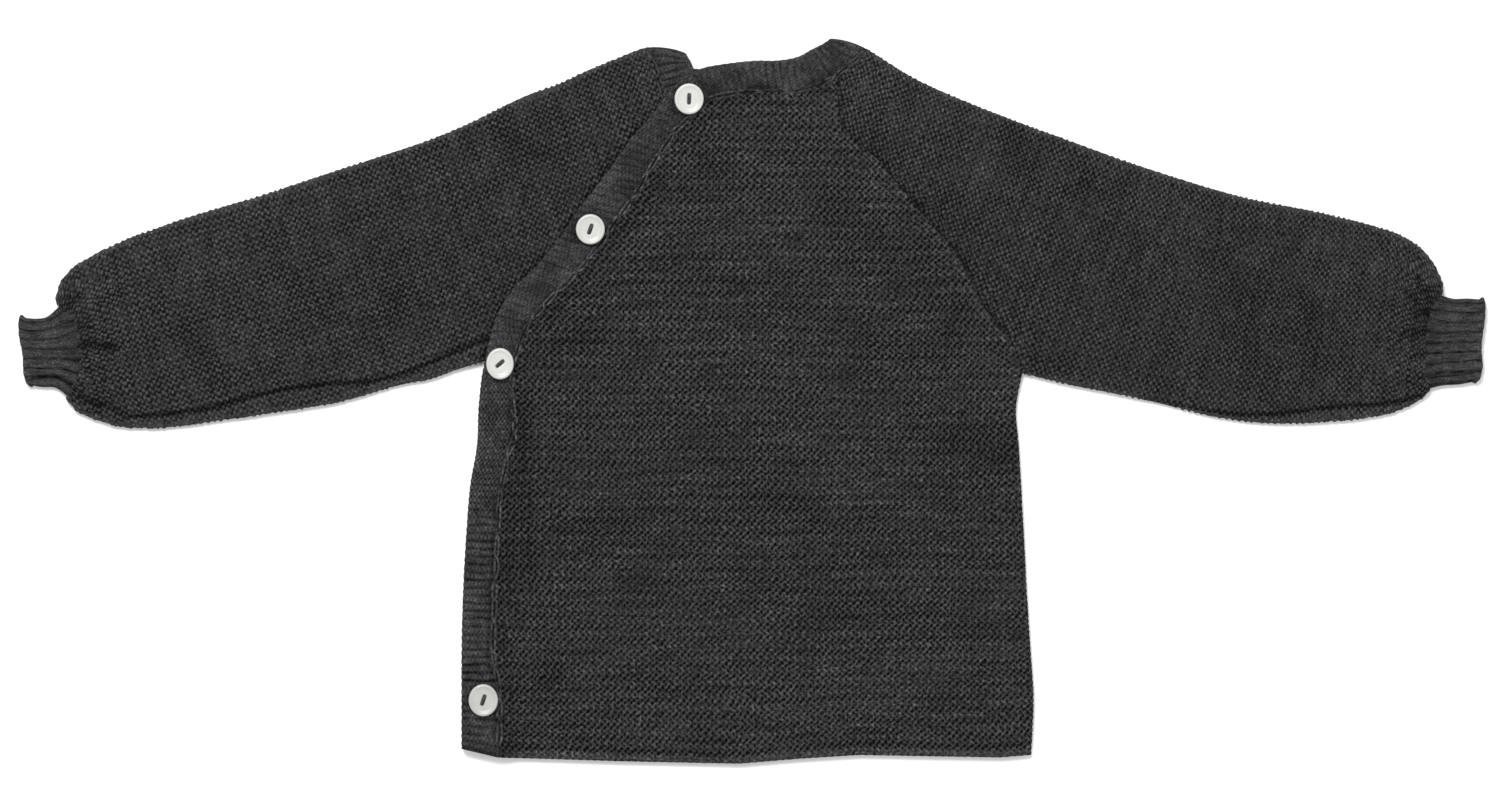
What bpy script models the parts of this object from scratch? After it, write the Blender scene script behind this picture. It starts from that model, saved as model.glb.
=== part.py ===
# A baby's knitted raglan sweater that opens down one raglan seam and one side, laid flat on its back.
#
# The garment lies on the plane z = 0 with its neck towards +Y and its plain sleeve towards +X. The origin
# is on that plane, under the middle of the whole garment. Lengths are in millimetres until make_object()
# turns them into metres. The cloth is a wall of even thickness. Two pieces that are sewn together take
# their common edge from the same rows of a table, and each stops just short of it.

import math
from collections import namedtuple

import bmesh
import bpy
import numpy as np

# ---- driving sizes, in millimetres ----

CLOTH = 2.0  # thickness of the knitted cloth
GAP = 0.3  # between layers that lie on each other
SEAM = 0.3  # a flat piece's distance from a seam line, along its own rows: most cross the seam at a slant
LOW = CLOTH / 2  # middle of the bottom layer: the back and the undersides
HIGH = LOW + CLOTH + GAP  # middle of the layer that lies on it
TOP = HIGH + CLOTH + GAP  # middle of the buttonhole band, the third layer
BEND = (HIGH - LOW) / 2  # middle radius of the cloth where it turns under
FOLD = BEND + CLOTH / 2  # from the outside of a folded edge to the centre of its bend
SIDE_TURN = 60.0  # degrees that a panel's side turns towards the other layer before its seam
SETTLE = 9.5  # distance over which the front comes down from the band to the back

BAND_COVER = 0.12  # share of the buttonhole band's width that laps over the sleeve
BAND_UNDERLAP = 0.88  # share of that width where the button band's free edge lies

PUFF = 0.8  # how far the upper wall of a sleeve stands off the lower one along its middle
GATHER_PUFF = 1.8  # what the gathers add to that beside the cuff
GATHER_START = 0.7  # share of the sleeve's length where they begin

BUTTON_DIAMETER = 12.2
BUTTON_THICKNESS = 2.6
BUTTON_SEGMENTS = 20
SLOT_LENGTH = 5.0
SLOT_WIDTH = 1.6
SLOT_DEPTH = 0.9

# ---- the cut, as laid out ----

Section = namedtuple("Section", "band_x band_y seam_x seam_y side_x side_y")
Strip = namedtuple("Strip", "seam_x seam_y free_x free_y")
Across = namedtuple("Across", "top_x top_y under_x under_y")
Edge = namedtuple("Edge", "x y")
Tuck = namedtuple("Tuck", "across start width depth")
Fastener = namedtuple("Fastener", "x y slot_degrees")

# The body from hem to neck: the buttonhole band's free edge, its seam to the front, and the plain side.
BODY = [
    Section(-115.5, -139.0, -100.5, -142.5, 112.0, -141.5),
    Section(-115.5, -115.5, -100.5, -115.5, 113.0, -118.0),
    Section(-115.5, -103.5, -103.0, -103.5, 112.0, -103.0),
    Section(-115.0, -79.5, -102.0, -79.5, 110.5, -80.0),
    Section(-113.5, -51.5, -101.0, -51.5, 109.0, -52.0),
    Section(-112.0, -33.5, -100.0, -33.5, 108.0, -34.0),
    Section(-110.0, -17.5, -96.5, -17.0, 107.0, -17.5),
    Section(-109.0, -1.5, -94.5, -1.5, 106.0, -2.0),
    Section(-106.5, 14.5, -94.5, 13.0, 108.5, 11.0),
    Section(-104.5, 24.0, -92.5, 23.5, 107.0, 18.5),
    Section(-101.5, 34.0, -88.5, 31.0, 101.5, 27.5),
    Section(-96.0, 43.5, -82.5, 38.0, 94.0, 37.0),
    Section(-86.5, 53.0, -72.5, 48.0, 88.0, 49.0),
    Section(-76.5, 65.0, -61.0, 61.5, 80.0, 62.0),
    Section(-68.5, 77.0, -53.0, 73.0, 69.5, 74.5),
    Section(-59.5, 88.5, -45.0, 84.5, 60.0, 85.5),
    Section(-53.0, 97.5, -39.5, 94.0, 49.5, 98.0),
    Section(-46.5, 106.5, -34.5, 101.5, 40.0, 106.0),
    Section(-40.5, 113.0, -29.5, 108.5, 36.0, 113.5),
    Section(-36.0, 119.0, -24.5, 113.0, 35.0, 119.0),
    Section(-29.5, 127.0, -19.0, 118.0, 35.0, 125.0),
    Section(-22.5, 131.5, -16.0, 121.0, 35.0, 131.0),
]
UNDERARM = 8  # the row of BODY where the side ends and the raglan seam begins
BAND_END = 19  # the row of BODY where the button band ends under the top button

# The hem from the button side to the plain side; the front begins at its third point.
HEM = [
    Edge(-115.5, -139.0),
    Edge(-108.0, -141.0),
    Edge(-100.5, -142.5),
    Edge(-52.5, -144.0),
    Edge(-4.5, -145.0),
    Edge(19.5, -143.0),
    Edge(43.5, -141.5),
    Edge(99.5, -142.5),
    Edge(112.0, -141.5),
]
FRONT_HEM_START = 2

# The neckband in its runs: over the front from the top button to the plain sleeve, folded over, behind
# the neck, folded over again beside the other sleeve, and down under the top button.
NECK_FRONT = [
    Strip(-16.0, 121.0, -22.5, 131.5),
    Strip(-13.0, 122.0, -19.0, 133.0),
    Strip(-9.5, 122.8, -14.5, 134.0),
    Strip(-4.0, 123.5, -8.0, 135.0),
    Strip(4.0, 124.0, 2.0, 136.0),
    Strip(12.0, 124.0, 10.0, 136.0),
    Strip(19.0, 124.5, 17.0, 137.0),
    Strip(26.0, 126.0, 21.0, 138.5),
    Strip(31.0, 128.5, 24.0, 140.3),
    Strip(35.0, 131.0, 26.5, 141.5),
]
NECK_PLAIN_SLEEVE = Strip(41.0, 136.0, 29.5, 143.0)
PLAIN_FOLD = Strip(47.0, 140.5, 32.5, 144.5)
NECK_BACK = [
    Strip(35.0, 131.0, 26.5, 141.0),
    Strip(26.0, 126.0, 20.0, 137.5),
    Strip(19.0, 124.5, 16.5, 136.5),
    Strip(12.0, 124.0, 10.0, 135.5),
    Strip(4.0, 124.0, 2.0, 135.5),
    Strip(-4.0, 123.5, -4.0, 135.0),
    Strip(-14.0, 122.5, -11.0, 134.0),
    Strip(-24.0, 121.0, -17.0, 133.0),
]
NECK_CORNER_FREE = Edge(-23.0, 133.0)  # the free edge opposite the corner of back, sleeve and neckband
NECK_BUTTON_SLEEVE = [
    Strip(-35.5, 126.0, -23.5, 134.0),
    Strip(-37.5, 132.5, -24.0, 135.5),
]
BUTTON_FOLD = Strip(-42.0, 141.5, -26.5, 139.0)
UNDER_END_FREE = [Edge(-22.0, 129.0), Edge(-25.0, 113.6)]

# Each sleeve from the neck to its gathered end: its top edge and its under edge.
BUTTON_SLEEVE = [
    Across(-42.0, 141.5, -106.5, 14.5),
    Across(-64.5, 133.5, -119.0, 12.0),
    Across(-88.5, 122.5, -139.0, 6.5),
    Across(-122.0, 107.0, -164.5, -0.5),
    Across(-160.0, 94.0, -188.5, -4.5),
    Across(-196.5, 82.0, -212.5, -8.0),
    Across(-232.5, 71.0, -240.5, -11.0),
    Across(-251.0, 64.0, -254.0, -10.0),
    Across(-264.5, 57.5, -264.5, -6.5),
    Across(-272.0, 52.5, -269.5, -4.0),
    Across(-276.5, 46.5, -272.0, -1.5),
    Across(-278.0, 41.0, -273.5, 0.5),
    Across(-277.5, 37.0, -273.5, 2.0),
]
PLAIN_SLEEVE = [
    Across(47.0, 140.5, 108.5, 11.0),
    Across(65.5, 129.0, 124.5, 7.0),
    Across(88.0, 119.0, 139.5, 4.0),
    Across(123.5, 105.5, 163.5, -1.0),
    Across(160.0, 92.5, 185.5, -6.5),
    Across(195.0, 82.0, 206.5, -9.0),
    Across(231.5, 74.5, 229.5, -8.5),
    Across(249.0, 70.0, 245.5, -7.0),
    Across(260.5, 66.0, 257.5, -4.5),
    Across(268.5, 60.5, 264.5, -1.5),
    Across(274.0, 53.5, 268.5, 1.0),
    Across(276.5, 46.5, 271.0, 3.5),
    Across(277.0, 42.0, 272.0, 5.0),
]

# Where each sleeve is gathered into its cuff, and the cuff from there to its cast-off end.
BUTTON_JOINT = [Edge(-277.5, 37.0), Edge(-271.0, 30.5), Edge(-269.5, 20.5), Edge(-270.5, 10.5), Edge(-273.5, 2.0)]
PLAIN_JOINT = [Edge(277.0, 42.0), Edge(272.5, 32.5), Edge(271.5, 20.5), Edge(271.5, 10.5), Edge(272.0, 5.0)]
BUTTON_CUFF = [
    Across(-277.5, 37.0, -273.5, 2.0),
    Across(-281.0, 34.0, -277.5, 5.0),
    Across(-285.0, 33.0, -283.5, 5.5),
    Across(-292.5, 33.5, -289.0, 6.5),
]
PLAIN_CUFF = [
    Across(277.0, 42.0, 272.0, 5.0),
    Across(280.5, 41.0, 276.0, 6.0),
    Across(286.5, 41.0, 283.0, 6.5),
    Across(293.5, 40.5, 291.0, 8.0),
]
BUTTON_CUFF_END = [Edge(-292.5, 33.5), Edge(-292.5, 26.5), Edge(-291.0, 18.5), Edge(-290.5, 10.5), Edge(-289.0, 6.5)]
PLAIN_CUFF_END = [Edge(293.5, 40.5), Edge(293.5, 34.5), Edge(292.0, 20.5), Edge(292.5, 14.0), Edge(291.0, 8.0)]

# Tucks of the gathers: place across the sleeve, where up its length they start, width and depth.
TUCKS = [
    Tuck(0.20, 0.88, 7.0, 0.9),
    Tuck(0.45, 0.80, 8.0, 1.5),
    Tuck(0.70, 0.86, 7.0, 1.1),
]

BUTTONS = [
    Fastener(-24.5, 121.0, 90.0),
    Fastener(-64.5, 69.0, 65.0),
    Fastener(-100.5, 15.0, 38.0),
    Fastener(-107.0, -119.5, 60.0),
]

CHARCOAL = (0.032, 0.032, 0.033)
CHARCOAL_RIB = (0.041, 0.041, 0.042)
SHELL_WHITE = (0.80, 0.79, 0.76)


# ---- plane curves and grids ----


def points(rows, x="x", y="y"):
    """The points that two named columns of a table give."""
    return np.array([(getattr(row, x), getattr(row, y)) for row in rows], float)


def spread(curve, shares):
    """The curve's points at these shares of its length."""
    length = np.append(0, np.cumsum(np.linalg.norm(np.diff(curve, axis=0), axis=1)))
    return np.stack([np.interp(np.asarray(shares) * length[-1], length, column) for column in curve.T], -1)


def shares_of(curve):
    """The share of the curve's length at each of its points."""
    length = np.append(0, np.cumsum(np.linalg.norm(np.diff(curve, axis=0), axis=1)))
    return length / length[-1]


def coons(near, far, first, last):
    """A grid between four edges: its first and last rows are near and far, its first and last columns are
    first and last. Each edge's points are kept."""
    along = shares_of((first + last) / 2)[:, None, None]
    across = (1 - along) * shares_of(near)[:, None] + along * shares_of(far)[:, None]
    ruled_across = (1 - across) * first[:, None] + across * last[:, None]
    ruled_along = (1 - along) * near + along * far
    corners = (1 - along) * ((1 - across) * near[0] + across * near[-1])
    corners = corners + along * ((1 - across) * far[0] + across * far[-1])
    return ruled_across + ruled_along - corners


def from_edge(grid, edge, distance):
    """Points this far inside the first (0) or last (-1) column, along the grid's rows."""
    outside = grid[:, edge]
    inwards = grid[:, 1 if edge == 0 else -2] - outside
    inwards = inwards / np.linalg.norm(inwards, axis=1, keepdims=True)
    return outside + inwards * distance


def trimmed(grid, first=0.0, last=0.0, near=0.0, far=0.0):
    """The grid with its outer columns and rows moved inwards by these distances."""
    grid = grid.copy()
    grid[:, 0], grid[:, -1] = from_edge(grid, 0, first), from_edge(grid, -1, last)
    turned = np.swapaxes(grid, 0, 1)
    grid[0], grid[-1] = from_edge(turned, 0, near), from_edge(turned, -1, far)
    return grid


def ease(x):
    """A smooth step from 0 to 1."""
    x = np.clip(x, 0, 1)
    return x * x * (3 - 2 * x)


def settled(distance):
    """Height of the cloth's middle this far from the buttonhole band."""
    return HIGH + (TOP - HIGH) * ease(1 - distance / SETTLE)


# ---- walls of cloth ----


def wall(middle, ring=False):
    """The closed shell of cloth round a grid of middle points: its vertices and faces. In a ring each row
    closes on itself."""
    rows, columns = middle.shape[:2]
    if ring:
        across = np.roll(middle, -1, axis=1) - np.roll(middle, 1, axis=1)
    else:
        across = np.gradient(middle, axis=1, edge_order=2)
    normals = np.cross(across, np.gradient(middle, axis=0, edge_order=2))
    normals *= CLOTH / 2 / np.linalg.norm(normals, axis=2, keepdims=True)
    vertices = np.vstack([(middle + normals).reshape(-1, 3), (middle - normals).reshape(-1, 3)])
    index = np.arange(rows * columns).reshape(rows, columns)
    if ring:
        index = np.hstack([index, index[:, :1]])
        rims = [index[0], index[-1]]
    else:
        rims = [np.concatenate([index[0], index[1:, -1], index[-1, -2::-1], index[-2::-1, 0]])]
    quads = np.stack([index[:-1, :-1], index[:-1, 1:], index[1:, 1:], index[1:, :-1]], -1).reshape(-1, 4)
    faces = [*quads, *(quads[:, ::-1] + rows * columns)]
    for rim in rims:
        faces += [(a, b, b + rows * columns, a + rows * columns) for a, b in zip(rim, rim[1:])]
    return vertices, [[int(corner) for corner in face] for face in faces]


def make_object(name, vertices, faces, material):
    """The object of a closed mesh given in millimetres, with its faces turned outwards."""
    mesh = bpy.data.meshes.new(name)
    mesh.from_pydata((np.asarray(vertices) / 1000).tolist(), [], faces)
    shape = bmesh.new()
    shape.from_mesh(mesh)
    bmesh.ops.recalc_face_normals(shape, faces=shape.faces)
    shape.to_mesh(mesh)
    shape.free()
    mesh.shade_smooth()
    mesh.set_sharp_from_angle(angle=math.radians(40))
    mesh.materials.append(material)
    thing = bpy.data.objects.new(name, mesh)
    bpy.context.scene.collection.objects.link(thing)
    return thing


def make_material(name, colour, roughness):
    material = bpy.data.materials.new(name)
    material.use_nodes = True
    shader = material.node_tree.nodes["Principled BSDF"]
    shader.inputs["Base Color"].default_value = (*colour, 1)
    shader.inputs["Roughness"].default_value = roughness
    shader.inputs["Metallic"].default_value = 0
    return material


# ---- the body ----


def button_edge():
    """The body's edge on the button side: the band's own edge up to the underarm, then the raglan seam,
    which the band laps over."""
    band, seam = points(BODY, "band_x", "band_y"), points(BODY, "seam_x", "seam_y")
    cover = np.where(np.arange(len(BODY)) > UNDERARM, BAND_COVER, 0)[:, None]
    return band + (seam - band) * cover


def side_curl(rows):
    """How far each row's edge turns towards the other layer: fully down the side, not at all from the
    underarm up, where the sleeve joins on."""
    return (np.arange(rows) < UNDERARM).astype(float)


def edge_columns(grid, edge, curl):
    """The columns that finish a panel at its side: places in the plane and how far each leaves the panel's
    own layer. A curled edge turns through part of a quarter circle; a straight one stops at the seam."""
    turns = np.radians(SIDE_TURN) * np.array([1, 2, 3]) / 3
    flat = [FOLD * 2 / 3, FOLD / 3, SEAM]
    places, leaves = [], []
    for turn, straight in zip(turns, flat):
        distance = curl * (FOLD - BEND * math.sin(turn)) + (1 - curl) * straight
        places.append(from_edge(grid, edge, distance[:, None]))
        leaves.append(curl * BEND * (1 - math.cos(turn)))
    return np.stack(places, 1), np.stack(leaves, 1)


def make_back(material):
    """The back: bottom layer, its sides turned up to meet the front and the button band."""
    edge, side = button_edge(), points(BODY, "side_x", "side_y")
    # The rows above the button band's end share the stretch up to the neck.
    top_stretch = np.linspace(edge[BAND_END - 1], edge[BAND_END], len(BODY) - BAND_END + 1)
    edge = np.vstack([edge[:BAND_END], top_stretch[1:]])
    neck = np.vstack([edge[-1], points(NECK_BACK, "seam_x", "seam_y")[::-1]])
    hem = spread(points(HEM), shares_of(neck))
    grid = trimmed(coons(hem, neck, edge, side), far=SEAM)
    curl = side_curl(len(grid))
    first, first_rise = edge_columns(grid, 0, curl)
    last, last_rise = edge_columns(grid, -1, curl)
    middle = trimmed(grid, first=FOLD, last=FOLD)
    plan = np.hstack([first[:, ::-1], middle, last])
    rise = np.hstack([first_rise[:, ::-1], np.zeros(middle.shape[:2]), last_rise])
    return make_object("back", *wall(np.dstack([plan, LOW + rise])), material)


def make_front(material):
    """The front: from the buttonhole band, where it lies on the button band, down onto the back."""
    neck = points(NECK_FRONT, "seam_x", "seam_y")
    hem = points(HEM)[FRONT_HEM_START:]
    # Four columns carry the front down from the band; the rest are evenly spaced across it.
    hem_length = np.linalg.norm(np.diff(hem, axis=0), axis=1).sum()
    coming_down = np.linspace(0, 1.1 * SETTLE / hem_length, 4)
    flat = np.linspace(coming_down[-1], 1, len(neck) - len(coming_down) + 1)
    hem = spread(hem, np.concatenate([coming_down, flat[1:]]))
    seam, side = points(BODY, "seam_x", "seam_y"), points(BODY, "side_x", "side_y")
    grid = trimmed(coons(hem, neck, seam, side), far=1.5 * SEAM)
    last, last_drop = edge_columns(grid, -1, side_curl(len(grid)))
    middle = trimmed(grid, first=1.5 * SEAM, last=FOLD)
    plan = np.hstack([middle, last])
    drop = np.hstack([np.zeros(middle.shape[:2]), last_drop])
    distance = np.linalg.norm(plan - plan[:, :1], axis=2)
    return make_object("front", *wall(np.dstack([plan, settled(distance) - drop])), material)


def make_button_band(material):
    """The under band: sewn to the sleeve's and the back's open edge, its free edge under the upper band."""
    rows = BAND_END + 1
    edge, seam = button_edge()[:rows], points(BODY, "seam_x", "seam_y")[:rows]
    band = points(BODY, "band_x", "band_y")[:rows]
    free = band + (seam - band) * BAND_UNDERLAP
    grid = trimmed(np.stack([edge, (edge + free) / 2, free], 1), far=SEAM)
    first, drop = edge_columns(grid, 0, side_curl(rows))
    middle = trimmed(grid, first=FOLD)
    plan = np.hstack([first[:, ::-1], middle])
    drop = np.hstack([drop[:, ::-1], np.zeros(middle.shape[:2])])
    return make_object("button_band", *wall(np.dstack([plan, HIGH - drop])), material)


def make_buttonhole_band(material):
    """The upper band, flat on the layers below."""
    band, seam = points(BODY, "band_x", "band_y"), points(BODY, "seam_x", "seam_y")
    grid = np.stack([band + (seam - band) * share for share in np.linspace(0, 1, 4)], 1)
    plan = trimmed(grid, last=SEAM, far=SEAM)
    height = np.full(plan.shape[:2] + (1,), TOP)
    return make_object("buttonhole_band", *wall(np.dstack([plan, height])), material)


# ---- the neckband ----


def fold_rows(fold, neighbour, angles):
    """Rows that carry a strip round a folded edge: the ends of each row with its height."""
    seam, free = np.array(fold[:2]), np.array(fold[2:])
    along = (free - seam) / np.linalg.norm(free - seam)
    step = np.array(neighbour) - np.array(fold)
    depth = [abs(along[0] * s[1] - along[1] * s[0]) for s in (step[:2], step[2:])]
    rows = []
    for angle in np.radians(angles):
        inset = FOLD - BEND * math.cos(angle)
        seam_end = seam + step[:2] * inset / depth[0]
        free_end = free + step[2:] * inset / depth[1]
        rows.append((*seam_end, *free_end, (LOW + HIGH) / 2 + BEND * math.sin(angle)))
    return rows


def make_neckband(material):
    """The neckband: one strip that lies over the front, folds behind the neck and comes back under the
    top button."""
    front = points(NECK_FRONT, "seam_x", "seam_y")
    heights = settled(np.linalg.norm(front - front[0], axis=1))
    corner = button_edge()[BAND_END]
    downwards, upwards = [90, 54, 18, -18, -54, -90], [-90, -54, -18, 18, 54, 90]
    rows = [(*row, height) for row, height in zip(NECK_FRONT, heights)]
    rows += [(*NECK_PLAIN_SLEEVE, HIGH)]
    rows += fold_rows(PLAIN_FOLD, NECK_PLAIN_SLEEVE, downwards)
    rows += [(*NECK_PLAIN_SLEEVE, LOW)]
    rows += [(*row, LOW) for row in NECK_BACK]
    rows += [(*corner, *NECK_CORNER_FREE, LOW)]
    rows += [(*row, LOW) for row in NECK_BUTTON_SLEEVE]
    rows += fold_rows(BUTTON_FOLD, NECK_BUTTON_SLEEVE[-1], upwards)
    rows += [(*NECK_BUTTON_SLEEVE[-1], HIGH)]
    rows += [(NECK_BUTTON_SLEEVE[0].seam_x, NECK_BUTTON_SLEEVE[0].seam_y, *UNDER_END_FREE[0], HIGH)]
    rows += [(*corner, *UNDER_END_FREE[1], HIGH)]
    rows = np.array(rows)
    seam, free = rows[:, :2], rows[:, 2:4]
    grid = np.stack([seam + (free - seam) * share for share in np.linspace(0, 1, 4)], 1)
    plan = trimmed(grid, first=SEAM, near=SEAM, far=SEAM)
    height = np.repeat(rows[:, 4:], plan.shape[1], axis=1)
    return make_object("neckband", *wall(np.dstack([plan, height])), material)


# ---- sleeves and cuffs ----


def tube(grid, lift):
    """The middle of a flattened tube whose plan is the grid: the upper wall, the bend at the under edge, the
    lower wall and the bend at the top edge. lift is the upper wall's height over its layer."""
    half_turn = np.radians([60, 30, 0, -30, -60])
    flat = trimmed(grid, first=FOLD, last=FOLD)

    def bend(edge, angles):
        plan = np.stack([from_edge(grid, edge, FOLD - BEND * math.cos(angle)) for angle in angles], 1)
        height = np.array([(LOW + HIGH) / 2 + BEND * math.sin(angle) for angle in angles])
        return np.dstack([plan, np.broadcast_to(height, plan.shape[:2])])

    upper = np.dstack([flat, HIGH + lift])
    lower = np.dstack([flat, np.full(lift.shape, LOW)])[:, ::-1]
    return np.hstack([upper, bend(-1, half_turn), lower, bend(0, -half_turn)])


def sleeve_plan(table, armhole, joint):
    """The plan grid of a sleeve, from its seams with neckband and body to its joint with the cuff."""
    top, under = points(table, "top_x", "top_y"), points(table, "under_x", "under_y")
    joint_length = np.linalg.norm(np.diff(points(joint), axis=0), axis=1).sum()
    margin = 1.15 * FOLD / joint_length
    inner = np.linspace(margin, 1 - margin, len(armhole) - 2)
    gathered = spread(points(joint), np.concatenate([[0], inner, [1]]))
    return trimmed(coons(armhole, gathered, top, under), near=2 * SEAM, far=2 * SEAM)


def sleeve_lift(grid):
    """How far the upper wall stands up: a soft puff, fuller beside the cuff, where tucks run into it."""
    first, last = grid[:, :1], grid[:, -1:]
    width = np.linalg.norm(last - first, axis=2)
    share = np.clip(np.linalg.norm(grid - first, axis=2) / width, 0, 1)
    along = shares_of(grid[:, grid.shape[1] // 2])[:, None]
    gathered = ease((along - GATHER_START) / (1 - GATHER_START))
    lift = (PUFF * ease(along * 6) + GATHER_PUFF * gathered) * 4 * share * (1 - share)
    for tuck in TUCKS:
        nearness = np.exp(-(((share - tuck.across) * width / (tuck.width / 2)) ** 2))
        lift = lift - tuck.depth * nearness * ease((along - tuck.start) / (1 - tuck.start))
    return np.maximum(lift, 0)


def make_sleeve(name, table, armhole, joint, material):
    plan = sleeve_plan(table, armhole, joint)
    return make_object(name, *wall(tube(plan, sleeve_lift(plan)), ring=True), material)


def make_cuff(name, table, joint, end, material):
    """A ribbed cuff: a flattened tube from its joint with the sleeve to its cast-off end."""
    columns = np.linspace(0, 1, 8)
    top, under = points(table, "top_x", "top_y"), points(table, "under_x", "under_y")
    plan = coons(spread(points(joint), columns), spread(points(end), columns), top, under)
    plan = trimmed(plan, near=3.5 * SEAM)
    return make_object(name, *wall(tube(plan, np.zeros(plan.shape[:2])), ring=True), material)


# ---- buttons ----


def make_button(name, fastener, material):
    """A round button with a raised rim, a shallow dish and one eye-shaped slot, lying on the upper band."""
    radius, top = BUTTON_DIAMETER / 2, BUTTON_THICKNESS
    angles = np.linspace(0, 2 * math.pi, BUTTON_SEGMENTS, endpoint=False)
    round_ring = np.stack([np.cos(angles), np.sin(angles)], 1)
    slot = round_ring * [SLOT_LENGTH / 2, SLOT_WIDTH / 2]
    circles = [(0.82, 0.0), (0.97, 0.35 * top), (1.0, 0.6 * top), (0.93, 0.95 * top), (0.84, top), (0.74, 0.86 * top)]
    rings = [np.column_stack([round_ring * radius * share, np.full(len(angles), z)]) for share, z in circles]
    rings += [np.column_stack([slot, np.full(len(angles), z)]) for z in (0.84 * top, 0.84 * top - SLOT_DEPTH)]
    index = np.arange(len(rings) * len(angles)).reshape(len(rings), len(angles))
    index = np.hstack([index, index[:, :1]])
    quads = np.stack([index[:-1, :-1], index[:-1, 1:], index[1:, 1:], index[1:, :-1]], -1).reshape(-1, 4)
    faces = [quad.tolist() for quad in quads] + [index[0, :-1].tolist(), index[-1, :-1].tolist()]
    button = make_object(name, np.vstack(rings), faces, material)
    button.location = (fastener.x / 1000, fastener.y / 1000, (TOP + CLOTH / 2 + GAP) / 1000)
    button.rotation_euler.z = math.radians(fastener.slot_degrees)
    return button


# ---- the garment ----


def main():
    for thing in list(bpy.data.objects):
        bpy.data.objects.remove(thing, do_unlink=True)
    knit = make_material("charcoal_knit", CHARCOAL, 0.95)
    rib = make_material("charcoal_rib", CHARCOAL_RIB, 0.95)
    shell = make_material("button_shell", SHELL_WHITE, 0.35)

    make_back(knit)
    make_front(knit)
    make_button_band(rib)
    make_buttonhole_band(rib)
    make_neckband(rib)

    edge, side = button_edge(), points(BODY, "side_x", "side_y")
    beside_button = points([BUTTON_FOLD, *reversed(NECK_BUTTON_SLEEVE)], "seam_x", "seam_y")
    beside_plain = points([PLAIN_FOLD, NECK_PLAIN_SLEEVE], "seam_x", "seam_y")
    button_armhole = np.vstack([beside_button, edge[BAND_END : UNDERARM - 1 : -1]])
    plain_armhole = np.vstack([beside_plain, side[: UNDERARM - 1 : -1]])
    make_sleeve("sleeve_button_side", BUTTON_SLEEVE, button_armhole, BUTTON_JOINT, knit)
    make_sleeve("sleeve_plain_side", PLAIN_SLEEVE, plain_armhole, PLAIN_JOINT, knit)
    make_cuff("cuff_button_side", BUTTON_CUFF, BUTTON_JOINT, BUTTON_CUFF_END, rib)
    make_cuff("cuff_plain_side", PLAIN_CUFF, PLAIN_JOINT, PLAIN_CUFF_END, rib)

    for number, fastener in enumerate(BUTTONS, start=1):
        make_button(f"button_{number}", fastener, shell)


main()
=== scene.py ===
import math

import bpy
import numpy as np
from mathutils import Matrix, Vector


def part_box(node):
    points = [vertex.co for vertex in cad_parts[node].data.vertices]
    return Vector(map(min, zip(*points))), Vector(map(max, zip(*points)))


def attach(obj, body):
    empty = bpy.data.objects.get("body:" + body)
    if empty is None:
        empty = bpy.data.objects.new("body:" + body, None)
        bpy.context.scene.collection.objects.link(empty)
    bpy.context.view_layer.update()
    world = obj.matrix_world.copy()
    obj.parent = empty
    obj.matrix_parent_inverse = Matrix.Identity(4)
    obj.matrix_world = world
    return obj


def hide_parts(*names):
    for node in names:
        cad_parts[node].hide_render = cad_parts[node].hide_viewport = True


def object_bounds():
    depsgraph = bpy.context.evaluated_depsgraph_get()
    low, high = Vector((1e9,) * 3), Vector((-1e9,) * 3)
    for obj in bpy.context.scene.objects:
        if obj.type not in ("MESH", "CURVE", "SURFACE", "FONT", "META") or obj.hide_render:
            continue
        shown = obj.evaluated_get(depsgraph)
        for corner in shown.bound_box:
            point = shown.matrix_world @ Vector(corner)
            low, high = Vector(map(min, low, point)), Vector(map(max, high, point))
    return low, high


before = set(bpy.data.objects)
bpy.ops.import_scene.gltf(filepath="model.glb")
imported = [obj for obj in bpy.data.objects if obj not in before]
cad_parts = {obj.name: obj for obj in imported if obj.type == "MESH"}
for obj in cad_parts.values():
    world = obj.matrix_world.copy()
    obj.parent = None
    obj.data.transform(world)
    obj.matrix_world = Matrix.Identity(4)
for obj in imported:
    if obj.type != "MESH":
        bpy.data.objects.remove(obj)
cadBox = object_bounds()
print("frame loaded")

# A child's knitted raglan sweater laid flat on its back, neck towards +Y. Every length below is in
# millimetres and becomes metres as it reaches a mesh. The plan of each piece repeats the part's own rows,
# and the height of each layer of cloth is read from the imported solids.
mm = 0.001


def heightsOf(node):
    low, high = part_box(node)
    return low.z / mm, high.z / mm


cloth = {"thick": 2.0, "bend": 1.15, "settle": 9.5}
cloth["half"] = cloth["thick"] / 2
cloth["fold"] = cloth["bend"] + cloth["half"]  # from a folded edge to the centre of its bend
lowLayer = heightsOf("back")[0] + cloth["half"]
highLayer = heightsOf("button_band")[1] - cloth["half"]
topLayer = heightsOf("buttonhole_band")[1] - cloth["half"]

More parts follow.
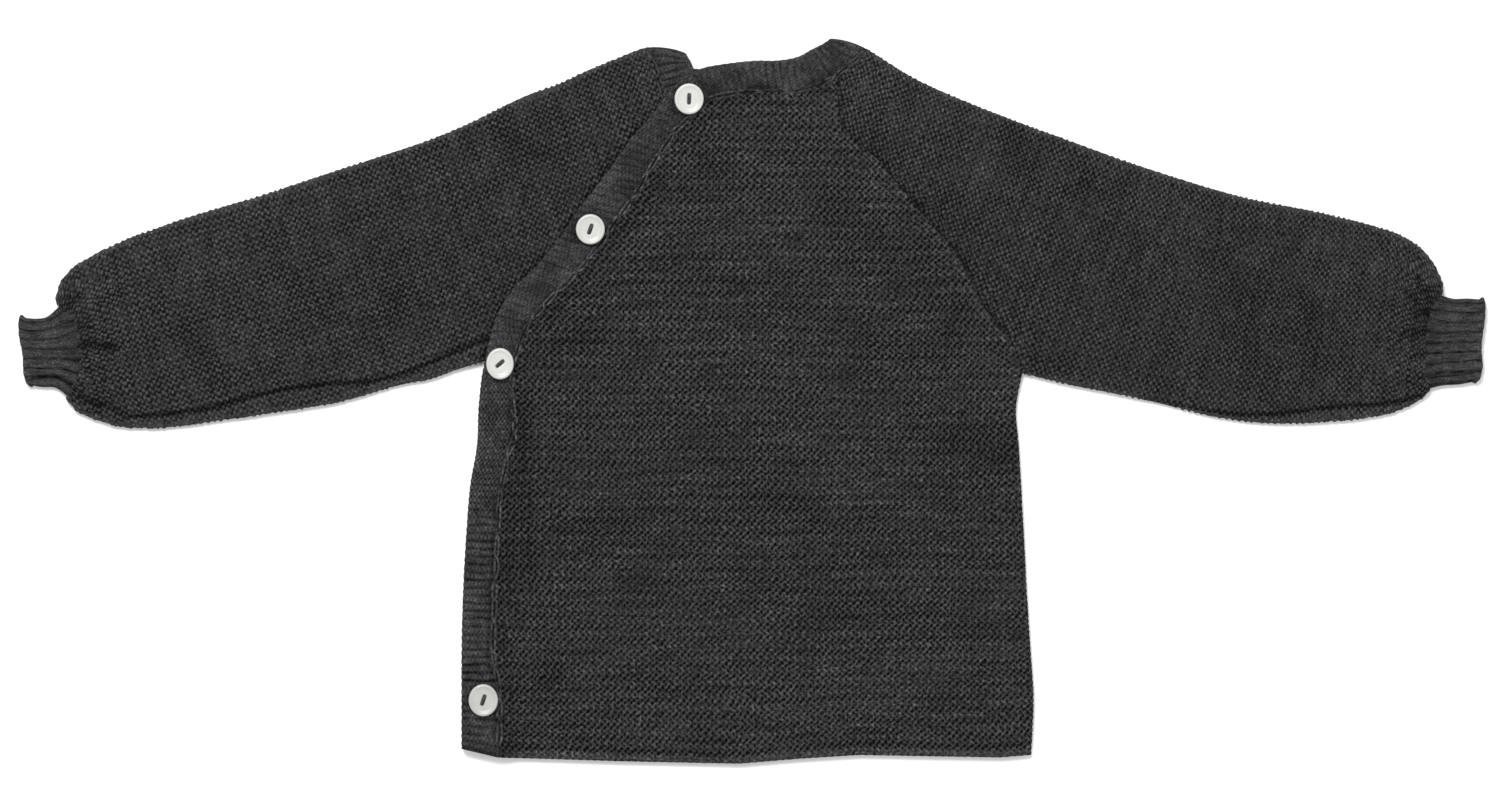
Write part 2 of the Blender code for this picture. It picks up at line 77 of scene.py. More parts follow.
# from hem to neck: buttonhole band's free edge x y, its seam to the front x y, plain side x y
bodyRows = np.array([
    (-115.5, -139.0, -100.5, -142.5, 112.0, -141.5),
    (-115.5, -115.5, -100.5, -115.5, 113.0, -118.0),
    (-115.5, -103.5, -103.0, -103.5, 112.0, -103.0),
    (-115.0, -79.5, -102.0, -79.5, 110.5, -80.0),
    (-113.5, -51.5, -101.0, -51.5, 109.0, -52.0),
    (-112.0, -33.5, -100.0, -33.5, 108.0, -34.0),
    (-109.3, -17.5, -96.5, -17.0, 107.0, -17.5),
    (-108.6, -1.5, -94.5, -1.5, 106.0, -2.0),
    (-106.5, 14.5, -94.5, 13.0, 108.5, 11.0),
    (-104.5, 24.0, -92.5, 23.5, 107.0, 18.5),
    (-101.5, 34.0, -88.5, 31.0, 101.5, 27.5),
    (-96.0, 43.5, -82.5, 38.0, 94.0, 37.0),
    (-86.5, 53.0, -72.5, 48.0, 88.0, 49.0),
    (-76.5, 65.0, -61.0, 61.5, 80.0, 62.0),
    (-68.5, 77.0, -53.0, 73.0, 69.5, 74.5),
    (-59.5, 88.5, -45.0, 84.5, 60.0, 85.5),
    (-53.0, 97.5, -39.5, 94.0, 49.5, 98.0),
    (-46.5, 106.5, -34.5, 101.5, 40.0, 106.0),
    (-40.5, 113.0, -29.5, 108.5, 36.0, 113.5),
    (-36.0, 119.0, -24.5, 113.0, 35.0, 119.0),
    (-29.5, 127.0, -19.0, 118.0, 35.0, 125.0),
    (-22.5, 131.5, -16.0, 121.0, 35.0, 131.0),
])
bandEdge, bandSeam, plainSide = bodyRows[:, 0:2], bodyRows[:, 2:4], bodyRows[:, 4:6]
underarm, bandEnd = 8, 19  # rows where the side meets the sleeve, and where the button band ends
bandCover, bandUnderlap = 0.12, 0.88  # shares of its width that the back and the button band lie under

# the hem from the button side to the plain side
hemLine = np.array([(-115.5, -139.0), (-108.0, -141.0), (-100.5, -142.5), (-52.5, -144.0), (-4.5, -145.0),
                    (19.5, -143.0), (43.5, -141.5), (99.5, -142.5), (112.0, -141.5)])

# the neckband in its runs, each row its seam x y and its free edge x y
neckFront = np.array([
    (-16.0, 121.0, -22.5, 131.5), (-13.0, 122.0, -19.0, 133.0), (-9.5, 122.8, -14.5, 134.0),
    (-4.0, 123.5, -8.0, 135.0), (4.0, 124.0, 2.0, 136.0), (12.0, 124.0, 10.0, 136.0),
    (19.0, 124.5, 17.0, 137.0), (26.0, 126.0, 21.0, 138.5), (31.0, 128.5, 24.0, 140.3),
    (35.0, 131.0, 26.5, 141.5)])
neckPlainSleeve = np.array([(41.0, 136.0, 29.5, 143.0)])
plainFold = np.array([47.0, 140.5, 32.5, 144.5])
neckBack = np.array([
    (35.0, 131.0, 26.5, 141.0), (26.0, 126.0, 20.0, 137.5), (19.0, 124.5, 16.5, 136.5),
    (12.0, 124.0, 10.0, 135.5), (4.0, 124.0, 2.0, 135.5), (-4.0, 123.5, -4.0, 135.0),
    (-14.0, 122.5, -11.0, 134.0), (-24.0, 121.0, -17.0, 133.0)])
neckCornerFree = (-23.0, 133.0)
neckButtonSleeve = np.array([(-35.5, 126.0, -23.5, 134.0), (-37.5, 132.5, -24.0, 135.5)])
buttonFold = np.array([-42.0, 141.5, -26.5, 139.0])
underEndFree = np.array([(-22.0, 129.0), (-25.0, 113.6)])

# each sleeve from neck to gathers: top edge x y, under edge x y
buttonSleeveRows = np.array([
    (-42.0, 141.5, -106.5, 15.9), (-64.5, 132.6, -119.0, 12.0), (-76.0, 127.2, -128.5, 8.6),
    (-88.5, 122.5, -139.0, 6.5),
    (-122.0, 107.0, -164.5, -0.5), (-160.0, 94.0, -188.5, -4.5), (-196.5, 82.0, -212.5, -8.0),
    (-232.5, 71.0, -240.5, -11.0), (-251.0, 64.0, -254.0, -10.0), (-264.5, 57.5, -264.5, -6.5),
    (-272.0, 52.5, -269.5, -4.0), (-276.5, 46.5, -272.0, -1.5), (-278.0, 41.0, -273.5, 0.5),
    (-277.5, 37.0, -273.5, 2.0)])
plainSleeveRows = np.array([
    (47.0, 140.5, 108.5, 11.0), (65.5, 129.0, 124.5, 7.0), (88.0, 119.0, 139.5, 4.0),
    (123.5, 105.5, 163.5, -1.0), (160.0, 92.5, 185.5, -6.5), (195.0, 82.0, 206.5, -9.0),
    (231.5, 74.5, 229.5, -8.5), (249.0, 70.0, 245.5, -7.0), (260.5, 66.0, 257.5, -4.5),
    (268.5, 60.5, 264.5, -1.5), (274.0, 53.5, 268.5, 1.0), (276.5, 46.5, 271.0, 3.5),
    (277.0, 42.0, 272.0, 5.0)])

# where each sleeve is gathered into its cuff, and the cuff's cast-off end
buttonJoint = np.array([(-277.5, 37.0), (-271.0, 30.5), (-269.5, 20.5), (-270.5, 10.5), (-273.5, 2.0)])
plainJoint = np.array([(277.0, 42.0), (272.5, 32.5), (271.5, 20.5), (271.5, 10.5), (272.0, 5.0)])
buttonCuffRows = np.array([(-277.5, 37.0, -273.5, 2.0), (-281.0, 34.0, -277.5, 5.0),
                           (-285.0, 33.0, -283.5, 5.5), (-292.5, 33.5, -289.0, 6.5)])
plainCuffRows = np.array([(277.0, 42.0, 272.0, 5.0), (280.5, 41.0, 276.0, 6.0),
                          (286.5, 41.0, 283.0, 6.5), (293.5, 40.5, 291.0, 8.0)])
buttonCuffEnd = np.array([(-292.5, 33.5), (-292.5, 26.5), (-291.0, 18.5), (-290.5, 10.5), (-289.0, 6.5)])
plainCuffEnd = np.array([(293.5, 40.5), (293.5, 34.5), (292.0, 20.5), (292.5, 14.0), (291.0, 8.0)])

# each button's centre x y, and how far its slot is turned in degrees
buttonPlaces = [(-24.5, 121.0, 88.0), (-64.5, 69.0, 70.0), (-100.5, 15.0, 37.0), (-107.0, -119.5, 70.0)]


def ease(x):
    # a smooth step from 0 to 1
    x = np.clip(x, 0, 1)
    return x * x * (3 - 2 * x)


def bell(x, width):
    # 1 where x is 0, falling off on both sides by the exponential of -(x / width) squared
    return np.exp(-((x / width) ** 2))


def unit(vectors):
    # the same directions with a length of 1
    return vectors / np.linalg.norm(vectors, axis=-1, keepdims=True)


def lengthAlong(line):
    return np.append(0, np.cumsum(np.linalg.norm(np.diff(line, axis=0), axis=1)))


def smoothLine(line, at, want, corners=()):
    # a cubic on each stretch of the line; its slope at a point is the mean of the slopes on both sides, each
    # weighted by the other stretch's length, or each stretch keeps its own slope at a corner
    line, at, want = np.asarray(line, float), np.asarray(at, float), np.asarray(want, float)
    step = np.diff(at)[:, None]
    slope = np.diff(line, axis=0) / step
    weight = step[1:] / (step[1:] + step[:-1])
    between = slope[:-1] * weight + slope[1:] * (1 - weight)
    arriving = np.vstack([slope[:1], between, slope[-1:]])
    leaving = arriving.copy()
    for corner in corners:
        arriving[corner], leaving[corner] = slope[corner - 1], slope[corner]
    k = np.clip(np.searchsorted(at, want, side="right") - 1, 0, len(step) - 1)
    h = step[k]
    f = (want - at[k])[:, None] / h
    value = (1 + 2 * f) * (1 - f) ** 2 * line[k] + f * f * (3 - 2 * f) * line[k + 1]
    return value + h * (f * (1 - f) ** 2 * leaving[k] + f * f * (f - 1) * arriving[k + 1])


def evenLine(line, count, corners=()):
    at = lengthAlong(line)
    return smoothLine(line, at, np.linspace(0, at[-1], count), corners)


def coonsGrid(near, far, first, last):
    # a surface between four edges: what the two pairs of edges give by straight lines, added, less what the
    # four corners alone give
    along = np.linspace(0, 1, len(first))[:, None, None]
    across = np.linspace(0, 1, len(near))[None, :, None]
    byAcross = (1 - across) * first[:, None] + across * last[:, None]
    byAlong = (1 - along) * near + along * far
    corners = (1 - along) * ((1 - across) * near[0] + across * near[-1])
    corners = corners + along * ((1 - across) * far[0] + across * far[-1])
    return byAcross + byAlong - corners


def softNoise(x, y, size, seed):
    # smooth random values from -1 to 1: drawn on a square lattice of this size, blended by a smooth step
    count = 97  # points along each side of the lattice, which then repeats
    values = np.random.default_rng(seed).uniform(-1, 1, (count, count))
    i, j = np.floor(x / size).astype(int), np.floor(y / size).astype(int)
    fx, fy = ease(x / size - i), ease(y / size - j)
    i, j, nextI, nextJ = i % count, j % count, (i + 1) % count, (j + 1) % count
    near = values[i, j] * (1 - fx) + values[nextI, j] * fx
    far = values[i, nextJ] * (1 - fx) + values[nextI, nextJ] * fx
    return near * (1 - fy) + far * fy


stitch = {"wale": 2.8, "ridge": 2.37, "height": 0.34}
# kinds of links-links knit: how strong the arcs and their skew are, and what each wave adds. A wave is how
# often it repeats over one wale and over one ridge, its share, and its start in degrees
bodyKnit = {"arcs": 0.80, "skew": 0.045, "waves": [
    (1, -0.5, 0.29, 40), (1, 0.5, 0.07, 127), (0, 0.5, 0.125, -147), (1, 0, 0.13, -61), (2, 0, 0.185, 165),
    (2, 1, 0.08, 111)]}
buttonSleeveKnit = {"arcs": 0.90, "skew": 0.015, "waves": [
    (0, 0.5, 0.08, 0), (1, 0, 0.25, 72), (0, 1, 0.125, -89), (2, 0, 0.03, 180), (0, 2, 0.24, -12)]}
plainSleeveKnit = {"arcs": 0.96, "skew": -0.01, "waves": [
    (0, 0.5, 0.09, 0), (1, 0, 0.105, 52), (0, 1, 0.10, -160), (2, 0, 0.02, 180), (0, 2, 0.27, -4)]}


def linksStitch(u, v, kind):
    # links-links knit, -1 to 1: cos u * cos v makes arcs one wale wide and one ridge apart, with the next
    # row of arcs between them turned over. skew * sin u * sin v makes one diagonal of them stronger, and the
    # waves of the kind, each a cosine, add lean, legs, rows and wales
    turn = 2 * np.pi
    height = kind["arcs"] * np.cos(turn * u) * np.cos(turn * v)
    height = height + kind["skew"] * np.sin(turn * u) * np.sin(turn * v)
    for across, along, share, start in kind["waves"]:
        height = height + share * np.cos(turn * (across * u + along * v) + math.radians(start))
    return height / 1.5


def edgeFall(distance, radius, fall):
    # how far a surface drops towards an edge: a quarter of an ellipse of this radius and fall
    return fall * (1 - np.sqrt(1 - (1 - np.clip(distance / radius, 0, 1)) ** 2))


def creaseShade(rise):
    # painted shade in the valleys of creases, and a little painted light on their ridges
    return 1.1 * np.maximum(-rise, 0) - 0.3 * np.maximum(rise, 0)


def spots(x, y, places):
    # soft round patches: each row is x y, radius and amount
    total = np.zeros_like(x)
    for placeX, placeY, radius, amount in places:
        total += amount * bell(np.hypot(x - placeX, y - placeY), radius)
    return total


def troughs(x, y, lines):
    # soft valleys (depth above 0) or ridges along straight lines that fade at both ends: each row of the
    # list is x1 y1 x2 y2, half width and depth
    total = np.zeros_like(x)
    for x1, y1, x2, y2, width, depth in lines:
        length = math.hypot(x2 - x1, y2 - y1)
        along = ((x - x1) * (x2 - x1) + (y - y1) * (y2 - y1)) / length**2
        aside = ((x - x1) * (y2 - y1) - (y - y1) * (x2 - x1)) / length
        total -= depth * bell(aside, width) * ease(along * 4 + 0.5) * ease((1 - along) * 4 + 0.5)
    return total


def gridFaces(index):
    return np.stack([index[:-1, :-1], index[:-1, 1:], index[1:, 1:], index[1:, :-1]], -1).reshape(-1, 4)


def sewLines(a, atA, b, atB):
    # triangles between two lines of vertices that run side by side: each edge of one takes its third corner
    # from how far the other has got
    k = np.searchsorted(atB[1:], atA[1:], side="right")
    i = np.searchsorted(atA[1:], atB[1:], side="left")
    return np.vstack([np.stack([a[1:], a[:-1], b[k]], 1), np.stack([b[:-1], b[1:], a[i]], 1)])


triangleCount = {}


def makePiece(name, vertices, faceGroups, uv, material, slotName, nodes, opennessAndPaintedShade=None):
    # one closed mesh: its faces by number of corners, turned outwards as a whole if its volume is negative.
    # The last argument gives, at each vertex, how far the stitches are pulled apart, together with painted
    # shade (above 0) and painted light (below 0)
    groups = [np.asarray(group, int) for group in faceGroups if len(group)]
    volume = 0.0
    for group in groups:
        for k in range(1, group.shape[1] - 1):
            a, b, c = (vertices[group[:, corner]] for corner in (0, k, k + 1))
            volume += np.einsum("ij,ij->i", a, np.cross(b, c)).sum()
    if volume < 0:
        groups = [group[:, ::-1] for group in groups]
    corners = np.concatenate([group.ravel() for group in groups])
    sizes = np.concatenate([np.full(len(group), group.shape[1]) for group in groups])
    vertices = np.column_stack([vertices[:, :2], np.maximum(vertices[:, 2], 0.0)])
    mesh = bpy.data.meshes.new(name)
    mesh.vertices.add(len(vertices))
    mesh.vertices.foreach_set("co", (vertices * mm).astype(np.float32).ravel())
    mesh.loops.add(len(corners))
    mesh.loops.foreach_set("vertex_index", corners.astype(np.int32))
    mesh.polygons.add(len(sizes))
    mesh.polygons.foreach_set("loop_start", np.append(0, np.cumsum(sizes)[:-1]).astype(np.int32))
    mesh.update(calc_edges=True)
    layer = mesh.uv_layers.new(name="stitches")
    layer.uv.foreach_set("vector", uv[corners].astype(np.float32).ravel())
    openedAndShaded = np.zeros(len(vertices))
    if opennessAndPaintedShade is not None:
        openedAndShaded[:len(opennessAndPaintedShade)] = opennessAndPaintedShade
    mesh.attributes.new("opennessAndPaintedShade", "FLOAT", "POINT").data.foreach_set("value", openedAndShaded.astype(np.float32))
    mesh.shade_smooth()
    mesh.materials.append(material)
    piece = bpy.data.objects.new(name, mesh)
    bpy.context.scene.collection.objects.link(piece)
    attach(piece, "root")
    if nodes:
        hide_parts(*nodes)
    triangleCount[name] = int((sizes - 2).sum())
    return piece


def loopShell(outer, inner):
    # the closed shell of two surfaces whose outlines run side by side: the second one's faces are turned
    # over, and triangles join the outlines
    count = len(outer["xyz"])
    vertices = np.vstack([outer["xyz"], inner["xyz"]])
    uv = np.vstack([outer["uv"], inner["uv"]])
    groups = [*outer["faces"], *[np.asarray(group)[:, ::-1] + count for group in inner["faces"]]]
    for (a, atA), (b, atB) in zip(outer["outlines"], inner["outlines"]):
        groups.append(sewLines(a, atA, b + count, atB))
    return vertices, groups, uv


class Field:
    # a value that a material's nodes work out: + - and * on fields add the Math nodes
    def __init__(self, socket):
        self.socket = socket

    def __add__(self, other):
        return calc("ADD", self, other)

    def __sub__(self, other):
        return calc("SUBTRACT", self, other)

    def __mul__(self, other):
        return calc("MULTIPLY", self, other)


def setInputs(made, values):
    # links the fields to a node's inputs, and sets the plain values on their own sockets
    for key, value in dict(values).items():
        if isinstance(value, Field):
            made.id_data.links.new(value.socket, made.inputs[key])
        else:
            made.inputs[key].default_value = value


def node(tree, kind, values=(), **settings):
    made = tree.nodes.new("ShaderNode" + kind)
    for key, value in settings.items():
        setattr(made, key, value)
    setInputs(made, values)
    return {output.name: Field(output) for output in made.outputs}


def calc(operation, *values):
    tree = next(value for value in values if isinstance(value, Field)).socket.id_data
    return node(tree, "Math", enumerate(values), operation=operation)["Value"]


def cosine(angle):
    return calc("COSINE", angle)


def vector(x, y=0.0):
    return node(x.socket.id_data, "CombineXYZ", {"X": x, "Y": y})["Vector"]


def remap(value, low, high, toLow, toHigh, kind="LINEAR"):
    inputs = {"Value": value, "From Min": low, "From Max": high, "To Min": toLow, "To Max": toHigh}
    return node(value.socket.id_data, "MapRange", inputs, interpolation_type=kind)["Result"]


def noise(place, scale, detail, roughness, low, high):
    inputs = {"Vector": place, "Scale": scale, "Detail": detail, "Roughness": roughness}
    return remap(node(place.socket.id_data, "TexNoise", inputs)["Fac"], 0.3, 0.7, low, high)


def tinted(colour, tone):
    return node(tone.socket.id_data, "VectorMath", {0: colour, 3: tone}, operation="SCALE")["Vector"]


def startMaterial(name):
    material = bpy.data.materials.new(name)
    material.use_nodes = True
    return material, material.node_tree, material.node_tree.nodes["Principled BSDF"]


def placeOn(tree):
    # the stitch map: wales across and ridges along as u and v
    split = node(tree, "SeparateXYZ", {"Vector": node(tree, "UVMap", uv_map="stitches")["UV"]})
    return split["X"], split["Y"]


def opennessAndPaintedShadeOn(tree):
    # per vertex: painted shade above 0 and painted light below 0, together with the stitches' openness
    return node(tree, "Attribute", attribute_name="opennessAndPaintedShade")["Fac"]


def woolFinish(tree, shader, look, shade, height):
    # yarn of dark and pale fibres spun together: grains of two sizes, rows and patches of other tones, and a
    # nap that softens the edges. shade, the stitch's painted shade and light, and height come from the stitch
    def tones(name, place, detail, roughness):
        low, high = 1 - look[name], 1 + look[name]
        return noise(place, look[name + "Scale"], detail, roughness, low, high)

    u, v = placeOn(tree)
    own = node(tree, "TexCoord")["Object"]
    grain, fleck = tones("grain", own, 2.0, 0.6), tones("fleck", own, 3.0, 0.6)
    patch, row = tones("patch", own, 3.0, 0.55), tones("row", vector(u * 0.03, v), 1.0, 0.5)
    tone = (grain * fleck) * (patch * row) * shade
    fibres = noise(own, look["fibreScale"], 3.0, 0.7, -look["fibre"], look["fibre"])
    bump = node(tree, "Bump", {"Height": height + fibres, "Distance": look["relief"] * mm, "Strength": 1.0})
    setInputs(shader, {
        "Base Color": tinted(look["colour"], tone), "Normal": bump["Normal"], "Roughness": 0.92,
        "Specular IOR Level": 0.06, "Sheen Weight": look["sheen"], "Sheen Roughness": 0.45,
        "Sheen Tint": (0.62, 0.62, 0.64, 1)})


# holeShade and holeFrom set the painted shade in the stitches' holes, topShade the painted highlight on their
# arcs
knitLook = {
    "colour": (0.0368, 0.0368, 0.0373), "grain": 0.70, "grainScale": 1300.0, "fleck": 0.28,
    "fleckScale": 480.0, "patch": 0.13, "patchScale": 120.0, "row": 0.35, "rowScale": 3.3, "fibre": 0.5,
    "fibreScale": 2600.0, "relief": 0.5, "sheen": 0.03, "holeShade": 0.0, "holeFrom": 0.25, "topShade": 2.5,
}


def knitMaterial(name, look):
    # the links-links stitch as bump, as painted shade in the holes between its arcs and as painted highlight
    # on their tops, with the formula of linksStitch
    material, tree, shader = startMaterial(name)
    u, v = placeOn(tree)
    across, along = u * (2 * math.pi), v * (2 * math.pi)
    height = cosine(across) * cosine(along) * look["arcs"]
    height = height + calc("SINE", across) * calc("SINE", along) * look["skew"]
    for timesAcross, timesAlong, share, start in look["waves"]:
        angle = across * timesAcross + along * timesAlong + math.radians(start)
        height = height + cosine(angle) * share
    height = height * noise(node(tree, "TexCoord")["Object"], 130.0, 2.0, 0.5, 0.65, 1.30)
    place, openedAndShaded = vector(u, v), opennessAndPaintedShadeOn(tree)
    # painted shade in the holes, deeper where the vertex attribute is higher, and painted highlight on the
    # tops
    depth = height * (noise(place, 1.4, 1.0, 0.5, 0.45, 1.75) + openedAndShaded)
    holes = remap(depth, -0.95, look["holeFrom"], look["holeShade"], 1.0, "SMOOTHSTEP")
    rise = height * noise(place, 2.3, 1.0, 0.5, 0.2, 1.6)
    tops = remap(rise, 0.05, 1.15, 1.0, look["topShade"])
    # the vertex attribute's painted shade and light darken or lighten the whole stitch
    woolFinish(tree, shader, look, holes * tops * remap(openedAndShaded, -1.0, 2.0, 1.35, 0.2), height)
    return material


ribLook = dict(
    knitLook, colour=(0.0435, 0.0435, 0.0441), grain=0.62, grainScale=1200.0, fleck=0.34, row=0.05,
    rowScale=0.9, relief=0.34, pitch=3.1, course=1.3,
    # grooves between the ribs: their painted shade, width, how they break up, their least strength, and their
    # strength above the height of upperFrom and left of shoulderFrom, in metres; then the painted light on
    # the ribs' crowns with painted shade on their sides, and streaks of tone
    grooveShade=0.22, grooveFrom=0.0, breaks=0.15, steadiness=0.0, upperRibs=0.45, upperFrom=(-0.048, -0.034),
    shoulderRibs=0.0, shoulderFrom=(-0.030, -0.022), crownLight=0.20, streaks=0.0,
    # fine stitches: wale, course, lean, wandering, the painted shade between them, and their strength outside
    # the middle stretch, which comes in over middleFrom and goes out over middleTo, in metres
    fineWale=3.1, fineCourse=1.6, fineLean=0.0, fineWander=0.35, fineShade=0.22, fineElsewhere=0.5,
    middleFrom=(-0.052, -0.040), middleTo=(0.0, 0.018))


def ribMaterial(name, look):
    # fine felted stitches with painted shade between them, crossed by grooves between the ribs that come and
    # go, which are painted with shade, while the ribs' crowns get painted light. u counts the ribs and v the
    # courses across them
    material, tree, shader = startMaterial(name)
    u, v = placeOn(tree)
    turn = 2 * math.pi
    own = node(tree, "SeparateXYZ", {"Vector": node(tree, "TexCoord")["Object"]})
    upper = remap(own["Y"], *look["upperFrom"], 1.0, look["upperRibs"], "SMOOTHSTEP")
    come = noise(vector(u * 0.9, v * look["breaks"]), 1.0, 2.0, 0.6, -0.1, 1.5)
    come = come * noise(vector(u * 0.16), 1.0, 1.0, 0.5, 0.25, 1.4) * upper
    come = calc("MAXIMUM", come, look["steadiness"])
    come = calc("MAXIMUM", come, remap(own["X"], *look["shoulderFrom"], look["shoulderRibs"], 0.0))
    groove = remap(cosine(u * turn), -1.0, look["grooveFrom"], 1.0, 0.0, "SMOOTHSTEP") * come
    swell = noise(vector(u * 0.3, v * 0.12), 1.0, 1.0, 0.5, 0.1, 1.9) * upper
    # painted light on the ribs' crowns and painted shade on their sides
    crownLight = cosine(u * turn) * swell * look["crownLight"] + 1.0
    around, wander = vector(u * look["pitch"], v * look["course"]), look["fineWander"]
    across = u * (turn * look["pitch"] / look["fineWale"])
    across = across + noise(around, 0.45, 1.0, 0.5, -2.6 * wander, 2.6 * wander)
    down = v * (turn * look["course"] / look["fineCourse"])
    down = down + noise(around, 0.6, 1.0, 0.5, -1.8 * wander, 1.8 * wander)
    middle = remap(own["Y"], *look["middleFrom"], 0.0, 1.0, "SMOOTHSTEP")
    middle = middle * remap(own["Y"], *look["middleTo"], 1.0, 0.0, "SMOOTHSTEP")
    fine = cosine(across) * cosine(down + across * look["fineLean"])
    fine = fine * calc("MAXIMUM", middle, look["fineElsewhere"])
    # painted shade in the grooves and between the fine stitches
    shade = remap(groove, 0.0, 1.2, 1.0, look["grooveShade"])
    shade = shade * remap(fine, -0.8, 0.8, look["fineShade"], 1.3) * crownLight
    strands = vector(u * (look["pitch"] / 0.75), v * (look["course"] / 4.5))
    strands = noise(strands, 1.0, 1.0, 0.5, 1 - look["streaks"], 1 + look["streaks"])
    # times streaks of tone and the vertex attribute's painted shade and light
    shade = shade * strands * remap(opennessAndPaintedShadeOn(tree), -1, 2, 1.5, 0.0)
    woolFinish(tree, shader, look, shade, fine * 0.35 - groove)
    return material


yarnLook = dict(ribLook, colour=(0.056, 0.056, 0.0565), grain=0.5, fleck=0.6, fleckScale=200.0, relief=0.15)


def yarnMaterial(name, look):
    # a plied yarn: v turns round it and u runs along it, so slanting bands are its plies, with painted shade
    # between them and painted light on them, and darker and lighter stretches along the yarn
    material, tree, shader = startMaterial(name)
    u, v = placeOn(tree)
    plies = cosine((u + v * 2.0) * (2 * math.pi))
    shade = remap(plies, -1.0, 1.0, 0.7, 1.15) * noise(vector(u * 0.4), 1.0, 1.0, 0.5, 0.15, 1.85)
    woolFinish(tree, shader, look, calc("MAXIMUM", shade, 0.12), plies)
    return material


sleeveWoolLook = dict(knitLook, colour=(0.0382, 0.0382, 0.0387), holeShade=0.08, grain=0.68, fleck=0.26,
                      topShade=2.35, patch=0.08, row=0.12, rowScale=0.9)
neckRibLook = dict(ribLook, colour=(0.0425, 0.0425, 0.043), pitch=2.85, crownLight=0.14, grain=0.55,
                   grooveShade=0.42, upperRibs=0.7, shoulderRibs=1.0, fineShade=0.5, fineWander=1.0,
                   fineElsewhere=1.0, fineWale=1.45, fineCourse=1.2, fineLean=0.5)
cuffRibLook = dict(ribLook, colour=(0.043, 0.043, 0.0435), steadiness=0.35, breaks=0.4, upperRibs=1.0,
                   grooveShade=0.0, grooveFrom=-0.38, grain=0.38, fleck=0.2, crownLight=0.14, fineShade=0.6,
                   fineWale=1.2, fineCourse=1.2, fineWander=1.0, fineElsewhere=1.0, streaks=0.48, pitch=4.05,
                   course=1.5)
knit = knitMaterial("charcoalKnit", dict(knitLook, **bodyKnit))
buttonSleeveWool = knitMaterial("charcoalSleeveKnitA", dict(sleeveWoolLook, **buttonSleeveKnit))
plainSleeveWool = knitMaterial("charcoalSleeveKnitB", dict(sleeveWoolLook, **plainSleeveKnit))
rib = ribMaterial("charcoalRib", ribLook)
neckRib = ribMaterial("charcoalNeckRib", neckRibLook)
cuffRib = ribMaterial("charcoalCuffRib", cuffRibLook)
yarn = yarnMaterial("charcoalYarn", yarnLook)
neckYarn = yarnMaterial("charcoalNeckYarn", dict(yarnLook, colour=(0.042, 0.042, 0.0425)))
print("materials made")

panel = {
    "columnsPerWale": 4, "backColumnsPerWale": 3, "rowsPerRidge": 3,
    "besideEdge": (0.0, 0.35, 0.9, 1.6), "besideInside": (0.0, 1.2),  # columns that follow each edge
    "hemRows": (0.0, 0.3, 0.8), "evenFrom": 1.3, "insideFrom": 0.4, "belowNeck": 1.2,
    "insets": (1.95, 0.5), "insetHeight": 8,  # how far the inside stays back, below and above this height
    "hemFade": 70.0, "hemLevel": -142.5, "overlap": 0.35,
}
panelTop = neckFront[-1, 1] - panel["belowNeck"]


def hemBow(x, y):
    # the hem's own curve, carried up into the rows above it and fading out
    hem = np.interp(x, hemLine[:, 0], hemLine[:, 1]) - panel["hemLevel"]
    return hem * ease(1 - (y - panel["hemLevel"]) / panel["hemFade"])


